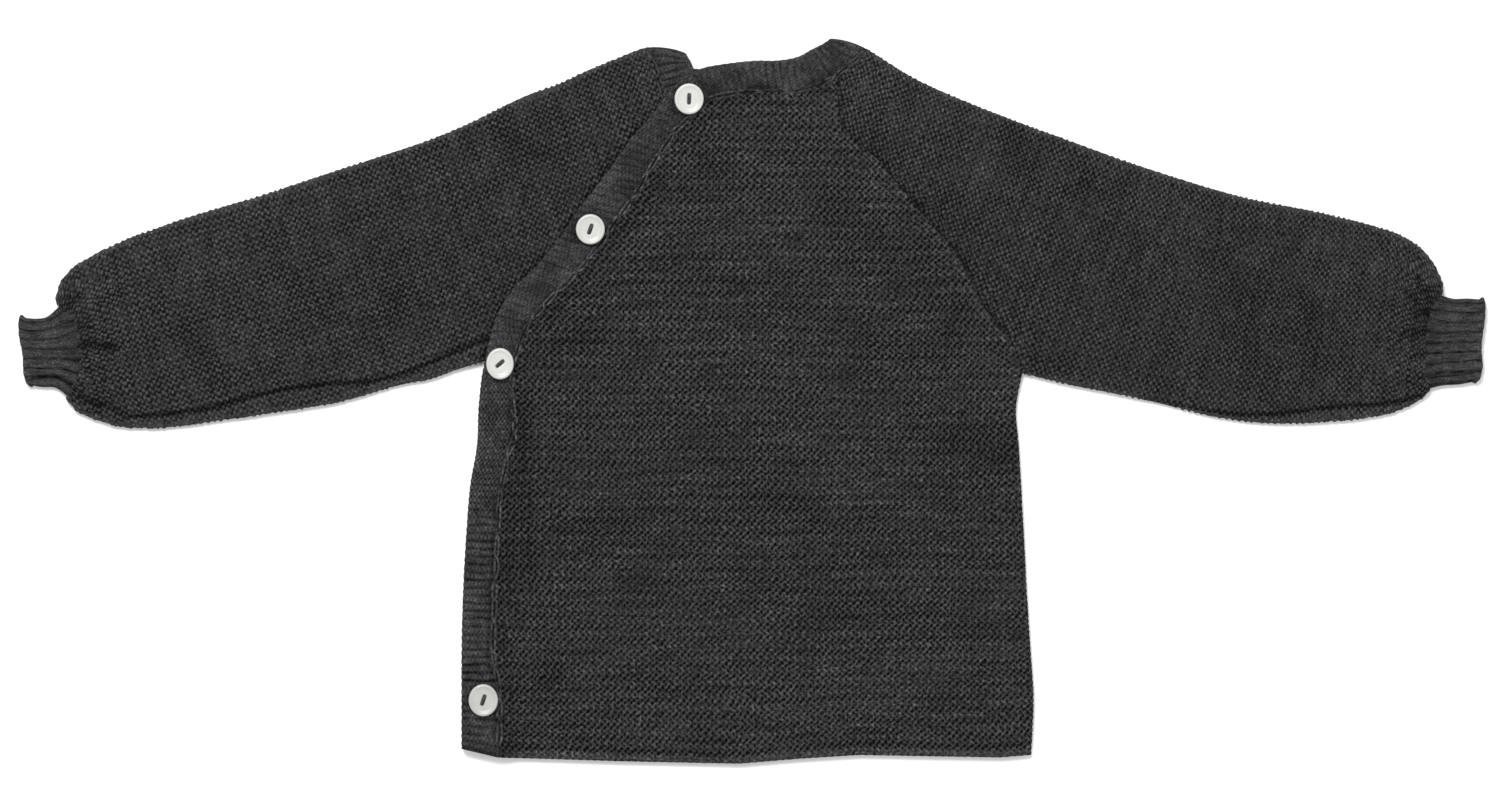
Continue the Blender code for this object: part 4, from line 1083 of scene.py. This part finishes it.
def tubeCut(plan, width):
    # the cut of a tube seen flat: all round it and along it, and its area, both layers of the plan
    down, along = plan[1:, :-1] - plan[:-1, :-1], plan[:-1, 1:] - plan[:-1, :-1]
    area = float(np.abs(down[:, :, 0] * along[:, :, 1] - down[:, :, 1] * along[:, :, 0]).sum()) * 2 * mm * mm
    length = max(lengthAlong(plan[:, k])[-1] for k in range(0, plan.shape[1], 4))
    return (2 * float(width.max()) * mm, float(length) * mm), area


def makeSleeve(name, table, armhole, joint, cut, nodes):
    look = sleeveLook
    plan, length = tubePlan(table, armhole, joint, look["rows"], look["planColumns"], cut["corners"])
    plan[0] -= unit(plan[1] - plan[0]) * look["tuckIn"]
    plan = plan[:-1]
    t = np.linspace(0, 1, look["rows"])[:-1]
    width = np.linalg.norm(plan[:, -1] - plan[:, 0], axis=1)

    def rough(x, y, size, number):
        return softNoise(x, y, size, cut["seed"] + number)

    def seamAt(x, y):
        # how far above the seam each point is, and how strongly the seam shows there
        shows = ease((x - cut["seamFrom"]) / look["seamFade"]) * ease((cut["seamTo"] - x) / look["seamFade"])
        return distanceTo(cut["seam"], x, y), shows

    def baseLift(x, y, share, row):
        s = np.clip(share, 0, 1)
        along = t[row]
        gathered = ease((along - look["gatherFrom"]) / (1 - look["gatherFrom"]))
        lift = (look["puff"] * ease(along * 6) + look["morePuff"] * gathered) * (4 * s * (1 - s)) ** 0.7
        drawn = ease((along - look["drawnFrom"]) / (1 - look["drawnFrom"]))
        lift = lift * (1 - drawn) + drawn * 0.2
        for place, start, wide, depth in cut["tucks"]:
            bend = 0.02 * np.sin((along - start) * 30 + place * 20)
            near = bell((s - place - bend) * width[row], wide / 2)
            lift = lift - depth * near * ease((along - start) / (1 - start))
        wavy = 0.30 * rough(x, y, 26.0, 0) + 0.12 * rough(x, y, 9.0, 1)
        lift = lift + (wavy + troughs(x, y, cut["creases"])) * ease(s * 8) * ease((1 - s) * 8)
        return np.maximum(lift, -0.25)

    def outerLift(x, y, share, row):
        # the seam is a groove, with a step down below it and a low ridge above it
        away, shows = seamAt(x, y)
        groove = cut["seamDepth"] * bell(away, 0.9) + 0.9 * ease(-away / 1.2) * ease((away + 9) / 6)
        return baseLift(x, y, share, row) - shows * groove + shows * 0.5 * bell(away - 2.2, 1.8)

    def under(x, y, share, row):
        s = np.clip(share, 0, 1)
        return np.maximum(0, 0.5 * rough(x, y, 22.0, 5) - 0.1) * 4 * s * (1 - s)

    outer, share, up = tubeSurface(plan, look["columns"], look["lowColumns"], outerLift, under, cloth["half"])
    x, y = outer[:, :, 0], outer[:, :, 1]
    u, v = sleevePlace(x, y, share, t, width, cut)
    strength = (0.85 + 0.35 * rough(x, y, 5.0, 7)) * ease(up * 5 - 0.4) * (1 + 1.2 * 4 * up * (1 - up))
    relief = linksStitch(u, v, cut["knit"]) * look["height"] * strength
    fromJoint = np.linalg.norm(outer - outer[-1:], axis=2)
    fromArmhole = np.linalg.norm(outer - outer[:1], axis=2)
    outer = outer + tubeNormals(outer) * relief[:, :, None]
    outer[:, :, 2] -= (edgeFall(fromArmhole, 3.2, 1.7) + 0.9 * bell(fromJoint, 1.2)) * up
    outer[:, :, 2] = np.maximum(outer[:, :, 2], 0.0)
    rows = np.append(np.arange(len(plan))[::look["insideRows"]], len(plan) - 1)
    columns = look["insideColumns"]
    inner, shareIn, _ = tubeSurface(plan, columns, columns, baseLift, under, -cloth["half"])
    innerUv = np.dstack([shareIn[rows] * 30, np.broadcast_to(t[rows][:, None] * 80, shareIn[rows].shape)])
    vertices, groups, uv = tubeShell(outer, inner[rows], np.dstack([u, v]), innerUv)
    flat, area = tubeCut(plan, width)

    # painted shade in creases, along the seam, in places and as the shadow of the front's edge, painted light
    # below the seam, in places and on the two folds
    x, y = outer[:, :, 0], outer[:, :, 1]
    away, shows = seamAt(x, y)
    openedAndShaded = creaseShade(troughs(x, y, cut["creases"])) * (0.9 + 0.6 * rough(x, y, 2.6, 17))
    openedAndShaded = openedAndShaded + spots(x, y, cut["shadeAndLightPlaces"]) + 0.2 * rough(x, y, 3.5, 18)
    fromFold = np.minimum(share, 1 - share) * width[:, None]
    openedAndShaded = openedAndShaded - look["foldLight"] * bell(fromFold, 1.5)
    edgeLine = evenLine(cut["edgeLine"], 160)
    near = slice(look["rows"] // 3)
    toEdge = np.hypot(x[near, :, None] - edgeLine[:, 0], y[near, :, None] - edgeLine[:, 1]).min(2)
    shadow = 0.5 + 0.5 * rough(x[near], y[near], 3.2, 19) + 0.9 * rough(x[near], y[near], 9.0, 20)
    shadow = cut["edgeShade"] * np.clip(shadow - 0.7 * nearNeck(y[near]), 0, 1.6)
    openedAndShaded[near] += shadow * bell(np.maximum(toEdge - 0.6, 0), 1.1)
    openedAndShaded = openedAndShaded + shows * (1.9 * bell(away, 0.8) - 0.35 * bell(away + 2.6, 1.6))
    openedAndShaded = openedAndShaded + 0.22 * rough(x, y, 7.0, 15)
    felted = 0.55 + 0.6 * rough(x, y, 2.6, 16)
    openedAndShaded = openedAndShaded * ease(up * 4 - 1) - felted * bell(fromJoint, 2.6)
    return makePiece(name, vertices, groups, uv, cut["wool"], "knit", nodes, openedAndShaded.ravel()), flat, area


def sleevePlace(x, y, share, t, width, cut):
    # wales run down the sleeve and ridges across it: plan axes turned with the sleeve, both turning a little
    # on the way to the cuff, and drawn together with the cloth where it is gathered
    turn, crossTurn = math.radians(cut["turn"]), math.radians(cut["crossTurn"])
    dx, dy = x - cut["origin"][0], y - cut["origin"][1]
    along = dx * math.cos(turn) + dy * math.sin(turn)
    across = -dx * math.sin(crossTurn) + dy * math.cos(crossTurn) - cut["bending"] * along**2
    along = along + cut["fanning"] * dx * (dy + dx / 3)
    start = int(0.88 * len(t))
    gathered = 0.6 * ease((t - 0.88) / 0.12)[:, None]
    middle = across[start, across.shape[1] // 4]
    straight = middle + (0.5 - share) * width[start] * cut["sense"]
    u = (across * (1 - gathered) + straight * gathered) / cut["wale"]
    v = along / cut["ridge"]
    loose = 0.12 + (0.18 * ease((t - 0.86) / 0.1) + cut["looseTop"] * ease(1 - t / 0.2))[:, None]
    # both wander: share, size, the seed's number for u and the one for v
    for share, sizes, numbers in ((0.14, (7.0, 6.0), (8, 9)), (0.2, (14.0, 15.0), (12, 13)),
                                  (loose, (2.4, 2.2), (10, 11))):
        u = u + share * softNoise(x, y, sizes[0], cut["seed"] + numbers[0])
        v = v + share * softNoise(x, y, sizes[1], cut["seed"] + numbers[1])
    return u, v


buttonArmhole = np.vstack([buttonFold[:2], neckButtonSleeve[::-1, :2], armholeEdge[::-1]])
plainArmhole = np.vstack([plainFold[:2], neckPlainSleeve[0, :2], plainSide[:underarm - 1:-1]])

# each sleeve's own cut: the directions of its wales and ridges, its seam, creases, and places of painted
# shade and painted light, which are given as for the front
buttonSleeveCut = {
    "seed": 110, "turn": 196.9, "crossTurn": 201.8, "sense": -1, "origin": (-106.0, 60.0),
    "bending": -0.00049, "fanning": -0.00038, "looseTop": 0.04, "tucks": tucks,
    "corners": (3,), "knit": buttonSleeveKnit, "wool": buttonSleeveWool, "wale": 2.53, "ridge": 2.38,
    "edgeLine": bandEdge[underarm:], "edgeShade": 1.3,
    "seam": np.array([(-241.0, -6.0), (-218.0, -3.2), (-196.5, 2.6), (-171.0, 6.6), (-148.5, 8.4),
                      (-126.5, 15.8), (-120.0, 19.0), (-106.5, 24.5)]),
    "seamFrom": -256.0, "seamTo": -92.0, "seamDepth": 1.5,
    "creases": [(-110, 118, -84, 96, 6.0, 0.5), (-190, 60, -170, 30, 6.0, 0.35),
                (-150, 66, -140, 34, 5.0, 0.4), (-226, 40, -218, 6, 6.0, 0.3),
                (-128, 40, -112, 70, 5.0, -0.3), (-206, 20, -170, 14, 7.0, -0.35),
                (-272, 23, -252, 21, 1.6, 1.3), (-273, 30, -262, 29, 1.3, 0.8),
                (-274, 37, -268, 43, 1.4, 0.9), (-273, 4, -251, -5, 1.5, 1.3),
                (-273, 14, -262, 12, 1.4, 0.7), (-262, 36, -250, 46, 2.2, 0.4)],
    "shadeAndLightPlaces": [(-262, 44, 9, -0.4), (-268, 27, 6, 0.3), (-255, 22, 5, 0.4), (-264, 0, 6, 0.25),
                   (-266, 22.4, 2.5, 0.5), (-260, 21.4, 2.2, 0.4), (-271, 1.5, 2.2, 0.9),
                   (-262, -2, 3.0, 0.6), (-273, 38, 1.8, 0.8), (-269.5, 28, 1.8, 0.7),
                   (-266, 12, 4.0, -0.4), (-270, 33, 2.0, -0.5), (-120, 60, 16, 0.15), (-84, 104, 14, 0.2),
                   (-180, 70, 14, -0.15), (-230, 50, 14, -0.1), (-92, 44, 8, 0.3)],
}
plainSleeveCut = {
    "seed": 140, "turn": -18.8, "crossTurn": -22.5, "sense": 1, "origin": (110.0, 60.0),
    "bending": 0.00108, "fanning": 0.00146, "looseTop": 0.12,
    "tucks": tucks[::-1], "corners": (2,), "knit": plainSleeveKnit, "wool": plainSleeveWool, "wale": 2.68,
    "ridge": 2.41, "edgeLine": plainSide[underarm:], "edgeShade": 1.2,
    "seam": np.array([(112.0, 8.5), (150.0, 2.6), (192.0, -5.0), (205.0, -5.4), (221.0, -3.8), (237.5, -2.0),
                      (251.5, -1.2), (260.0, 0.2), (267.0, 2.2)]),
    "seamFrom": 150.0, "seamTo": 280.0, "seamDepth": 1.3,
    "creases": [(100, 124, 112, 90, 6.0, 0.5), (92, 116, 96, 84, 5.0, -0.45), (130, 96, 142, 66, 6.0, 0.4),
                (196, 50, 204, 12, 7.0, 0.4), (224, 44, 226, 10, 6.0, 0.4), (160, 60, 176, 36, 6.0, -0.3),
                (274, 31, 262, 44, 1.6, 1.2), (273, 27, 258, 27, 1.8, 1.1), (272, 21, 262, 16, 1.3, 0.7),
                (273, 38, 266, 50, 1.5, 0.8), (272, 10, 262, 7, 1.4, 0.6)],
    "shadeAndLightPlaces": [(44, 120, 7, -0.4), (92, 98, 9, -0.2), (68, 78, 2.2, 1.2), (38, 112, 2.0, 0.35),
                   (80, 61, 2.0, 0.6), (268, 40, 5, 0.3), (264, 27, 5, 0.3), (266.5, 35, 2.2, 0.9),
                   (271, 35.5, 2.0, 1.0), (269.5, 29, 1.6, 1.0), (266, 25.7, 2.0, 0.9),
                   (270.4, 3.7, 1.8, 1.2), (272.4, 51, 4.5, -0.5), (269, 22.5, 2.2, -0.7),
                   (264, 16, 3.0, -0.4), (114, 14, 4, 0.9), (130, 40, 14, 0.15), (190, 30, 16, 0.1),
                   (240, 60, 12, -0.25), (252, 52, 10, -0.2), (78, 74, 8, 0.2)],
}
sleeveB, sleeveBFlat, sleeveBArea = makeSleeve("sleeve_button_side_cloth", buttonSleeveRows, buttonArmhole,
                                               buttonJoint, buttonSleeveCut, ["sleeve_button_side"])
sleeveP, sleevePFlat, sleevePArea = makeSleeve("sleeve_plain_side_cloth", plainSleeveRows, plainArmhole,
                                               plainJoint, plainSleeveCut, ["sleeve_plain_side"])
print("sleeves made")

cuffLook = {
    "rows": 44, "columns": 110, "planColumns": 40, "insideColumns": 36, "insideRows": 3, "rib": 0.16,
    "pitch": 4.05, "course": 1.5, "flare": 0.6, "reach": 0.30, "tuckIn": 3.2, "tuckRows": 8, "tuckEnd": 0.4,
    "spread": 2.2, "corner": 1.3, "catches": 0.05, "seed": 160,
}


def makeCuff(name, table, joint, end, creases, nodes):
    look = cuffLook
    plan, length = tubePlan(table, joint, end, look["rows"], look["planColumns"])
    t = np.linspace(0, 1, look["rows"])
    spread = np.linspace(-0.5, 0.5, plan.shape[1]) * look["spread"]
    across = unit(plan[:, -1] - plan[:, 0])[:, None]
    plan = plan + across * spread[None, :, None] * ease(t * 7 - 6)[:, None, None]
    extra = np.linspace(look["tuckIn"], look["tuckEnd"], look["tuckRows"])
    plan = np.vstack([plan[0] - unit(plan[1] - plan[0]) * extra[:, None, None], plan])
    t = np.append(-extra / length, t)
    into = np.append(extra, np.zeros(look["rows"]))[:, None]
    width = np.linalg.norm(plan[:, -1] - plan[:, 0], axis=1)

    def lift(x, y, share, row):
        s = np.clip(share, 0, 1)
        return (0.5 * ease(1 - t[row] * 3) + look["flare"] * ease(t[row] * 2 - 1)) * 4 * s * (1 - s)

    def none(x, y, share, row):
        return 0 * x

    def placeIn(share, t):
        # u counts the ribs round the cuff and v the courses along it
        v = np.broadcast_to(t[:, None] * length / look["course"], share.shape)
        return share * width.mean() / look["pitch"], v

    outer, share, up = tubeSurface(plan, look["columns"], look["columns"] // 2, lift, none, cloth["half"])
    u, v = placeIn(share, t)
    u = u + 0.10 * softNoise(u * 3 + v, v * 0.5, 3.0, look["seed"] + 1)
    # ribs flat on top with narrow grooves between them: the fourth power of a raised cosine, turned over
    wave = 0.6 - 1.6 * (0.5 - 0.5 * np.cos(2 * np.pi * u)) ** 4
    ribs = look["rib"] * wave * (0.85 + 0.3 * softNoise(u * 4, v * 2, 3.0, look["seed"]))
    catches = look["catches"] * np.cos(2 * np.pi * v)
    fromEnd = (1 - t)[:, None] * length
    crease = troughs(outer[:, :, 0], outer[:, :, 1], creases) * ease(up * 4 - 1)
    start = 1.6 * ease(into / look["tuckIn"])
    start = start + 0.5 * softNoise(u * 4, 0 * u, 1.5, look["seed"] + 2) * ease(into / 1.5)
    rise = ribs + catches - edgeFall(fromEnd, 1.0, 0.8) - start
    outer[:, :, 2] += np.where(up > 0.5, 1.0, -1.0) * rise + crease
    outer[:, :, 2] = np.maximum(outer[:, :, 2], 0.0)
    # the cast-off end reaches out at the ribs and rolls back at its two corners, by a quarter of a circle
    reach = look["reach"] * wave * ease(t * 4 - 3)[:, None]
    fromSide = np.clip(np.minimum(share, 1 - share), 0, 1) * width[:, None]
    rolled = edgeFall(fromSide, 2.4, look["corner"]) * ease(t * 5 - 4)[:, None]
    outer[:, :, :2] += unit(plan[-1].mean(0) - plan[0].mean(0)) * (reach - 0.15 - rolled)[:, :, None]
    columns = look["insideColumns"]
    inner, shareIn, _ = tubeSurface(plan, columns, columns, lift, none, -cloth["half"])
    rows = np.append(np.arange(0, len(plan) - 1, look["insideRows"]), len(plan) - 1)
    innerUv = np.dstack(placeIn(shareIn[rows], t[rows]))
    vertices, groups, uv = tubeShell(outer, inner[rows], np.dstack([u, v]), innerUv)
    flat, area = tubeCut(plan, width)
    # painted shade in the gathers by the joint, stronger in patches, and in the creases' valleys; painted
    # light on the creases' ridges and along the rolled cast-off end
    gathered = bell(np.maximum(t, 0)[:, None] * length, 3.0)
    openedAndShaded = gathered * (0.45 + 0.5 * softNoise(u * 5, v * 2, 3.0, look["seed"] + 3))
    openedAndShaded = openedAndShaded - 1.2 * crease - 0.5 * bell(fromEnd, 0.9)
    return makePiece(name, vertices, groups, uv, cuffRib, "rib", nodes, openedAndShaded.ravel()), flat, area


# each cuff's creases, given as for the front
buttonCuffCreases = [(-289.5, 7.8, -281.0, 10.2, 0.55, 0.8), (-286.0, 9.8, -274.0, 9.5, 0.7, 0.95),
                     (-279.0, 10.0, -269.0, 5.6, 0.6, 0.8), (-286.0, 12.0, -273.5, 12.6, 0.5, -0.3)]
plainCuffCreases = [(272, 9.2, 290, 11.2, 0.6, 0.8), (272, 16, 284, 17.5, 0.8, 0.3)]
cuffB, cuffBFlat, cuffBArea = makeCuff("cuff_button_side_cloth", buttonCuffRows, buttonJoint, buttonCuffEnd,
                                       buttonCuffCreases, ["cuff_button_side"])
cuffP, cuffPFlat, cuffPArea = makeCuff("cuff_plain_side_cloth", plainCuffRows, plainJoint, plainCuffEnd,
                                       plainCuffCreases, ["cuff_plain_side"])
print("cuffs made")


seamLook = {"yarn": 0.50, "swing": 0.80, "pitch": 19.0, "step": 0.5, "sides": 6, "rise": 0.35, "wander": 0.2,
            "uneven": 0.3, "sink": 0.45, "ply": 0.9, "seed": 170}


def twoYarns(line, look):
    # two yarns that run side by side and cross over each other along a line of points x y z: each swings
    # aside on a flattened sine and up on a cosine, half a turn behind the other, and sinks in places
    at = lengthAlong(line)
    want = np.linspace(0, at[-1], int(at[-1] / look["step"]))

    def rough(size, number, other=0.0):
        return softNoise(want, other + 0 * want, size, look["seed"] + number)

    path = smoothLine(line, at, want)
    path[:, 0] += look["wander"] * rough(7.0, 2)
    path[:, 2] += look["sink"] * (rough(11.0, 4) - 0.4)
    tangent = unit(np.gradient(path, axis=0))
    aside = unit(np.cross(tangent, [0.0, 0.0, 1.0]))
    up = np.cross(aside, tangent)
    around = np.linspace(0, 2 * np.pi, look["sides"], endpoint=False)
    vertices, groups, uv, count = [], [], [], 0
    for phase in (0.0, np.pi):
        turn = 2 * np.pi * want / look["pitch"] + phase + 1.3 * rough(8.0, 0)
        swing = look["swing"] * (1 + look["uneven"] * rough(4.0, 3, phase))
        swing = swing * np.sin(turn) * 1.06 / np.sqrt(np.sin(turn) ** 2 + 0.12)
        centre = path + aside * swing[:, None] + up * (look["rise"] * np.cos(2 * turn) * 0.5)[:, None]
        thick = look["yarn"] * (1 + 0.12 * rough(2.0, 1, phase))
        ring = aside[:, None] * np.cos(around)[:, None] + up[:, None] * np.sin(around)[:, None]
        tube = centre[:, None] + ring * thick[:, None, None]
        index = count + np.arange(len(want) * look["sides"]).reshape(len(want), look["sides"])
        groups += [ringFaces(index), index[:1, ::-1], index[-1:]]
        vertices.append(tube.reshape(-1, 3))
        place = np.broadcast_to((want / look["ply"] + 300 * phase)[:, None], tube.shape[:2])
        uv.append(np.dstack([place, np.broadcast_to(around / (2 * np.pi), tube.shape[:2])]).reshape(-1, 2))
        count += tube.shape[0] * tube.shape[1]
    return np.vstack(vertices), groups, np.vstack(uv)


def makeSeam(name, line, material):
    return makePiece(name, *twoYarns(np.asarray(line, float), seamLook), material, "rib", [])


# the seam beside the upper band, from hem to neck
bandSeamLine = np.array([
    (-100.4, -138.0), (-100.4, -135.6), (-100.3, -124.0), (-100.8, -112.5), (-102.2, -104.5), (-102.6, -92.0),
    (-102.0, -76.0), (-101.4, -58.0), (-100.6, -45.0), (-99.6, -35.0), (-98.2, -28.0), (-96.4, -20.5),
    (-94.6, -16.0), (-94.1, -9.0), (-95.0, -1.0), (-95.2, 8.0), (-94.8, 14.0), (-92.5, 22.5), (-88.5, 31.0),
    (-82.5, 38.2), (-72.4, 48.2), (-60.8, 61.7), (-52.8, 73.2), (-44.8, 84.7), (-39.3, 94.2), (-34.3, 101.7),
    (-29.3, 108.7), (-24.3, 113.2), (-18.8, 118.2)])
seamHeights = np.full(len(bandSeamLine), topLayer + 1.05)
seamHeights[0] -= 1.1  # its end goes into the cloth
bandLine = np.column_stack([bandSeamLine + [-0.15, 0.0], seamHeights])
neckHeights = frontMiddle(neckFront[:, 0], neckFront[:, 1] - 1.0) + 0.75
neckLine = np.column_stack([neckFront[:, :2] - [0.0, 0.4], neckHeights])
plainNeckLine = [(35.0, 130.6, highLayer + 0.8), (41.0, 135.6, highLayer + 0.8),
                 (46.2, 139.6, highLayer + 0.4)]
stumpLine = [(-33.6, 119.6, highLayer + 0.9), (-36.2, 126.0, highLayer + 0.8),
             (-38.2, 132.5, highLayer + 0.8), (-41.8, 140.2, highLayer + 0.4)]
bandSeamYarns = makeSeam("band_seam_yarns", bandLine, yarn)
neckSeamYarns = makeSeam("neck_seam_yarns", neckLine, neckYarn)
plainNeckYarns = makeSeam("plain_sleeve_neck_yarns", plainNeckLine, neckYarn)
stumpYarns = makeSeam("button_sleeve_neck_yarns", stumpLine, neckYarn)
print("seams made")


buttonLook = {
    "segments": 72, "slotLength": 4.6, "slotWidth": 1.7, "slotDepth": 0.9, "colour": (0.436, 0.432, 0.412),
    # how each one leans on its thread: shift x y, its width and height seen from above, and the painted shade
    # that darkens it
    "lean": [(-0.1, -0.5, 0.955, 1.01, 0.0), (0.5, -0.5, 0.955, 1.0, 0.06), (0.45, -0.15, 0.90, 1.03, 0.0),
             (0.3, 0.1, 0.965, 1.06, 0.20)],
}


threadLook = dict(seamLook, yarn=0.36, swing=0.28, pitch=9.0, step=0.15, rise=0.1, wander=0.0, uneven=0.0,
                  sink=0.0)


def shellMaterial(name, look):
    # pearly off-white: faint clouds of tone, a polished skin
    material, tree, shader = startMaterial(name)
    own = node(tree, "TexCoord")["Object"]
    # each button is darkened by its own painted shade, read from the vertex attribute
    tone = noise(own, 260.0, 3.0, 0.55, 0.95, 1.03) * calc("SUBTRACT", 1.0, opennessAndPaintedShadeOn(tree))
    bump = node(tree, "Bump", {"Height": noise(own, 1500.0, 2.0, 0.5, 0.0, 1.0), "Distance": 0.01 * mm})
    setInputs(shader, {"Base Color": tinted(look["colour"], tone), "Normal": bump["Normal"],
                       "Roughness": noise(own, 900.0, 2.0, 0.5, 0.26, 0.40), "Coat Weight": 0.12,
                       "Coat Roughness": 0.12})
    return material


shell = shellMaterial("buttonShell", buttonLook)
darkThread = yarnMaterial("darkThread", dict(yarnLook, colour=(0.062, 0.062, 0.0625), fleck=0.3))


def makeButton(number, x, y, degrees):
    # a turned profile, the share of the radius against the share of the thickness, whose inner rings pass
    # from a circle into the slot's long oval
    low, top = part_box(f"button_{number}")
    radius, thick = (top.x - low.x) / 2 / mm, (top.z - low.z) / mm
    profile = np.array([(0.0, 0.02), (0.55, 0.0), (0.80, 0.02), (0.90, 0.12), (0.965, 0.34), (0.995, 0.56),
                        (1.0, 0.70), (0.985, 0.84), (0.95, 0.945), (0.905, 0.99), (0.87, 1.0), (0.83, 0.985),
                        (0.79, 0.94), (0.75, 0.885), (0.68, 0.85), (0.55, 0.835)])
    fine = evenLine(profile, 44)
    angles = np.linspace(0, 2 * np.pi, buttonLook["segments"], endpoint=False)
    circle = np.stack([np.cos(angles), np.sin(angles)], 1)
    rings = [np.column_stack([circle * radius * max(share, 0.001), np.full(len(angles), z * thick)])
             for share, z in fine]
    # the slot's outline: a circle's cosine and sine, each to the power of a half, as a long round-ended oval
    halfSlot = [buttonLook["slotLength"] / 2, buttonLook["slotWidth"] / 2]
    eye = np.sign(circle) * np.abs(circle) ** 0.5 * halfSlot
    floor = fine[-1, 1] * thick
    for blend, z in ((0.25, 0.0), (0.5, 0.0), (0.72, -0.01), (0.88, -0.02), (0.96, -0.05), (1.0, -0.14),
                     (1.0, -0.5), (0.98, -buttonLook["slotDepth"])):
        edge = circle * radius * fine[-1, 0] * (1 - blend) + eye * blend
        rings.append(np.column_stack([edge, np.full(len(angles), floor + z)]))
    rings.append(np.column_stack([eye * 0.02, np.full(len(angles), floor - buttonLook["slotDepth"])]))
    points = np.stack(rings)
    index = np.arange(len(points) * len(angles)).reshape(points.shape[:2])
    turn = math.radians(degrees)
    spin = np.array([[math.cos(turn), math.sin(turn)], [-math.sin(turn), math.cos(turn)]])
    tilt = 0.02 * (points[:, :, 0] * math.cos(number) + points[:, :, 1] * math.sin(number)) * (number % 2)
    points[:, :, 2] += tilt
    shiftX, shiftY, wide, high, paintedButtonShade = buttonLook["lean"][number - 1]
    x, y = x + shiftX, y + shiftY
    points[:, :, :2] = points[:, :, :2] @ spin * [wide, high] + [x, y]
    points[:, :, 2] += low.z / mm
    faces = [ringFaces(index), index[:1, ::-1], index[-1:]]
    uv = points.reshape(-1, 3)[:, :2] / 3.0
    makePiece(f"button_{number}_turned", points.reshape(-1, 3), faces, uv, shell, "button",
              [f"button_{number}"], np.full(index.size, paintedButtonShade))
    reach = buttonLook["slotLength"] / 2 - 0.45
    bow = np.linspace(-1, 1, 9)
    heading = np.array([math.cos(turn), math.sin(turn)])
    line = np.column_stack([np.outer(bow * reach, heading) + [x, y],
                            low.z / mm + floor - 0.75 + 0.5 * (1 - bow**2)])
    makePiece(f"button_{number}_thread", *twoYarns(line, threadLook), darkThread, "rib", [])


for number, place in enumerate(buttonPlaces, start=1):
    makeButton(number, *place)
print("buttons made; triangles:", triangleCount, "in all", sum(triangleCount.values()))


studio = {"floor": 0.90, "world": 0.75, "key": 50.0, "fill": 11.0, "cameraLens": 200.0, "frameWidth": 600.0}


def makeFloor():
    mesh = bpy.data.meshes.new("floor")
    half = 4.0
    mesh.from_pydata([(-half, -half, -0.0004), (half, -half, -0.0004), (half, half, -0.0004),
                      (-half, half, -0.0004)], [], [(0, 1, 2, 3)])
    material, tree, shader = startMaterial("paleFloor")
    shader.inputs["Base Color"].default_value = (studio["floor"],) * 3 + (1,)
    shader.inputs["Roughness"].default_value = 0.9
    mesh.materials.append(material)
    floor = bpy.data.objects.new("floor", mesh)
    bpy.context.scene.collection.objects.link(floor)


def makeLight(name, place, size, power):
    lamp = bpy.data.lights.new(name, "AREA")
    lamp.shape, lamp.size, lamp.energy = "DISK", size, power
    thing = bpy.data.objects.new(name, lamp)
    thing.location = place
    thing.rotation_mode = "QUATERNION"
    thing.rotation_quaternion = (-thing.location).to_track_quat("-Z", "Y")
    bpy.context.scene.collection.objects.link(thing)


makeFloor()
makeLight("keyLight", (-0.4, 1.0, 2.0), 0.9, studio["key"])
makeLight("fillLight", (1.2, -1.0, 1.8), 1.6, studio["fill"])
world = bpy.data.worlds.new("studio")
bpy.context.scene.world = world
world.use_nodes = True
world.node_tree.nodes["Background"].inputs["Color"].default_value = (1, 1, 1, 1)
world.node_tree.nodes["Background"].inputs["Strength"].default_value = studio["world"]
bpy.context.scene.view_settings.view_transform = "Standard"

camera = bpy.data.cameras.new("camera")
camera.lens, camera.sensor_width = studio["cameraLens"], 36.0
middle = [(a + b) / 2 for a, b in zip(*cadBox)]
cameraThing = bpy.data.objects.new("camera", camera)
cameraThing.location = (middle[0] - 0.0008, middle[1] + 0.0004,
                        studio["frameWidth"] * mm * camera.lens / camera.sensor_width)
camera.clip_end = 20.0
bpy.context.scene.collection.objects.link(cameraThing)
bpy.context.scene.camera = cameraThing
print("studio made")
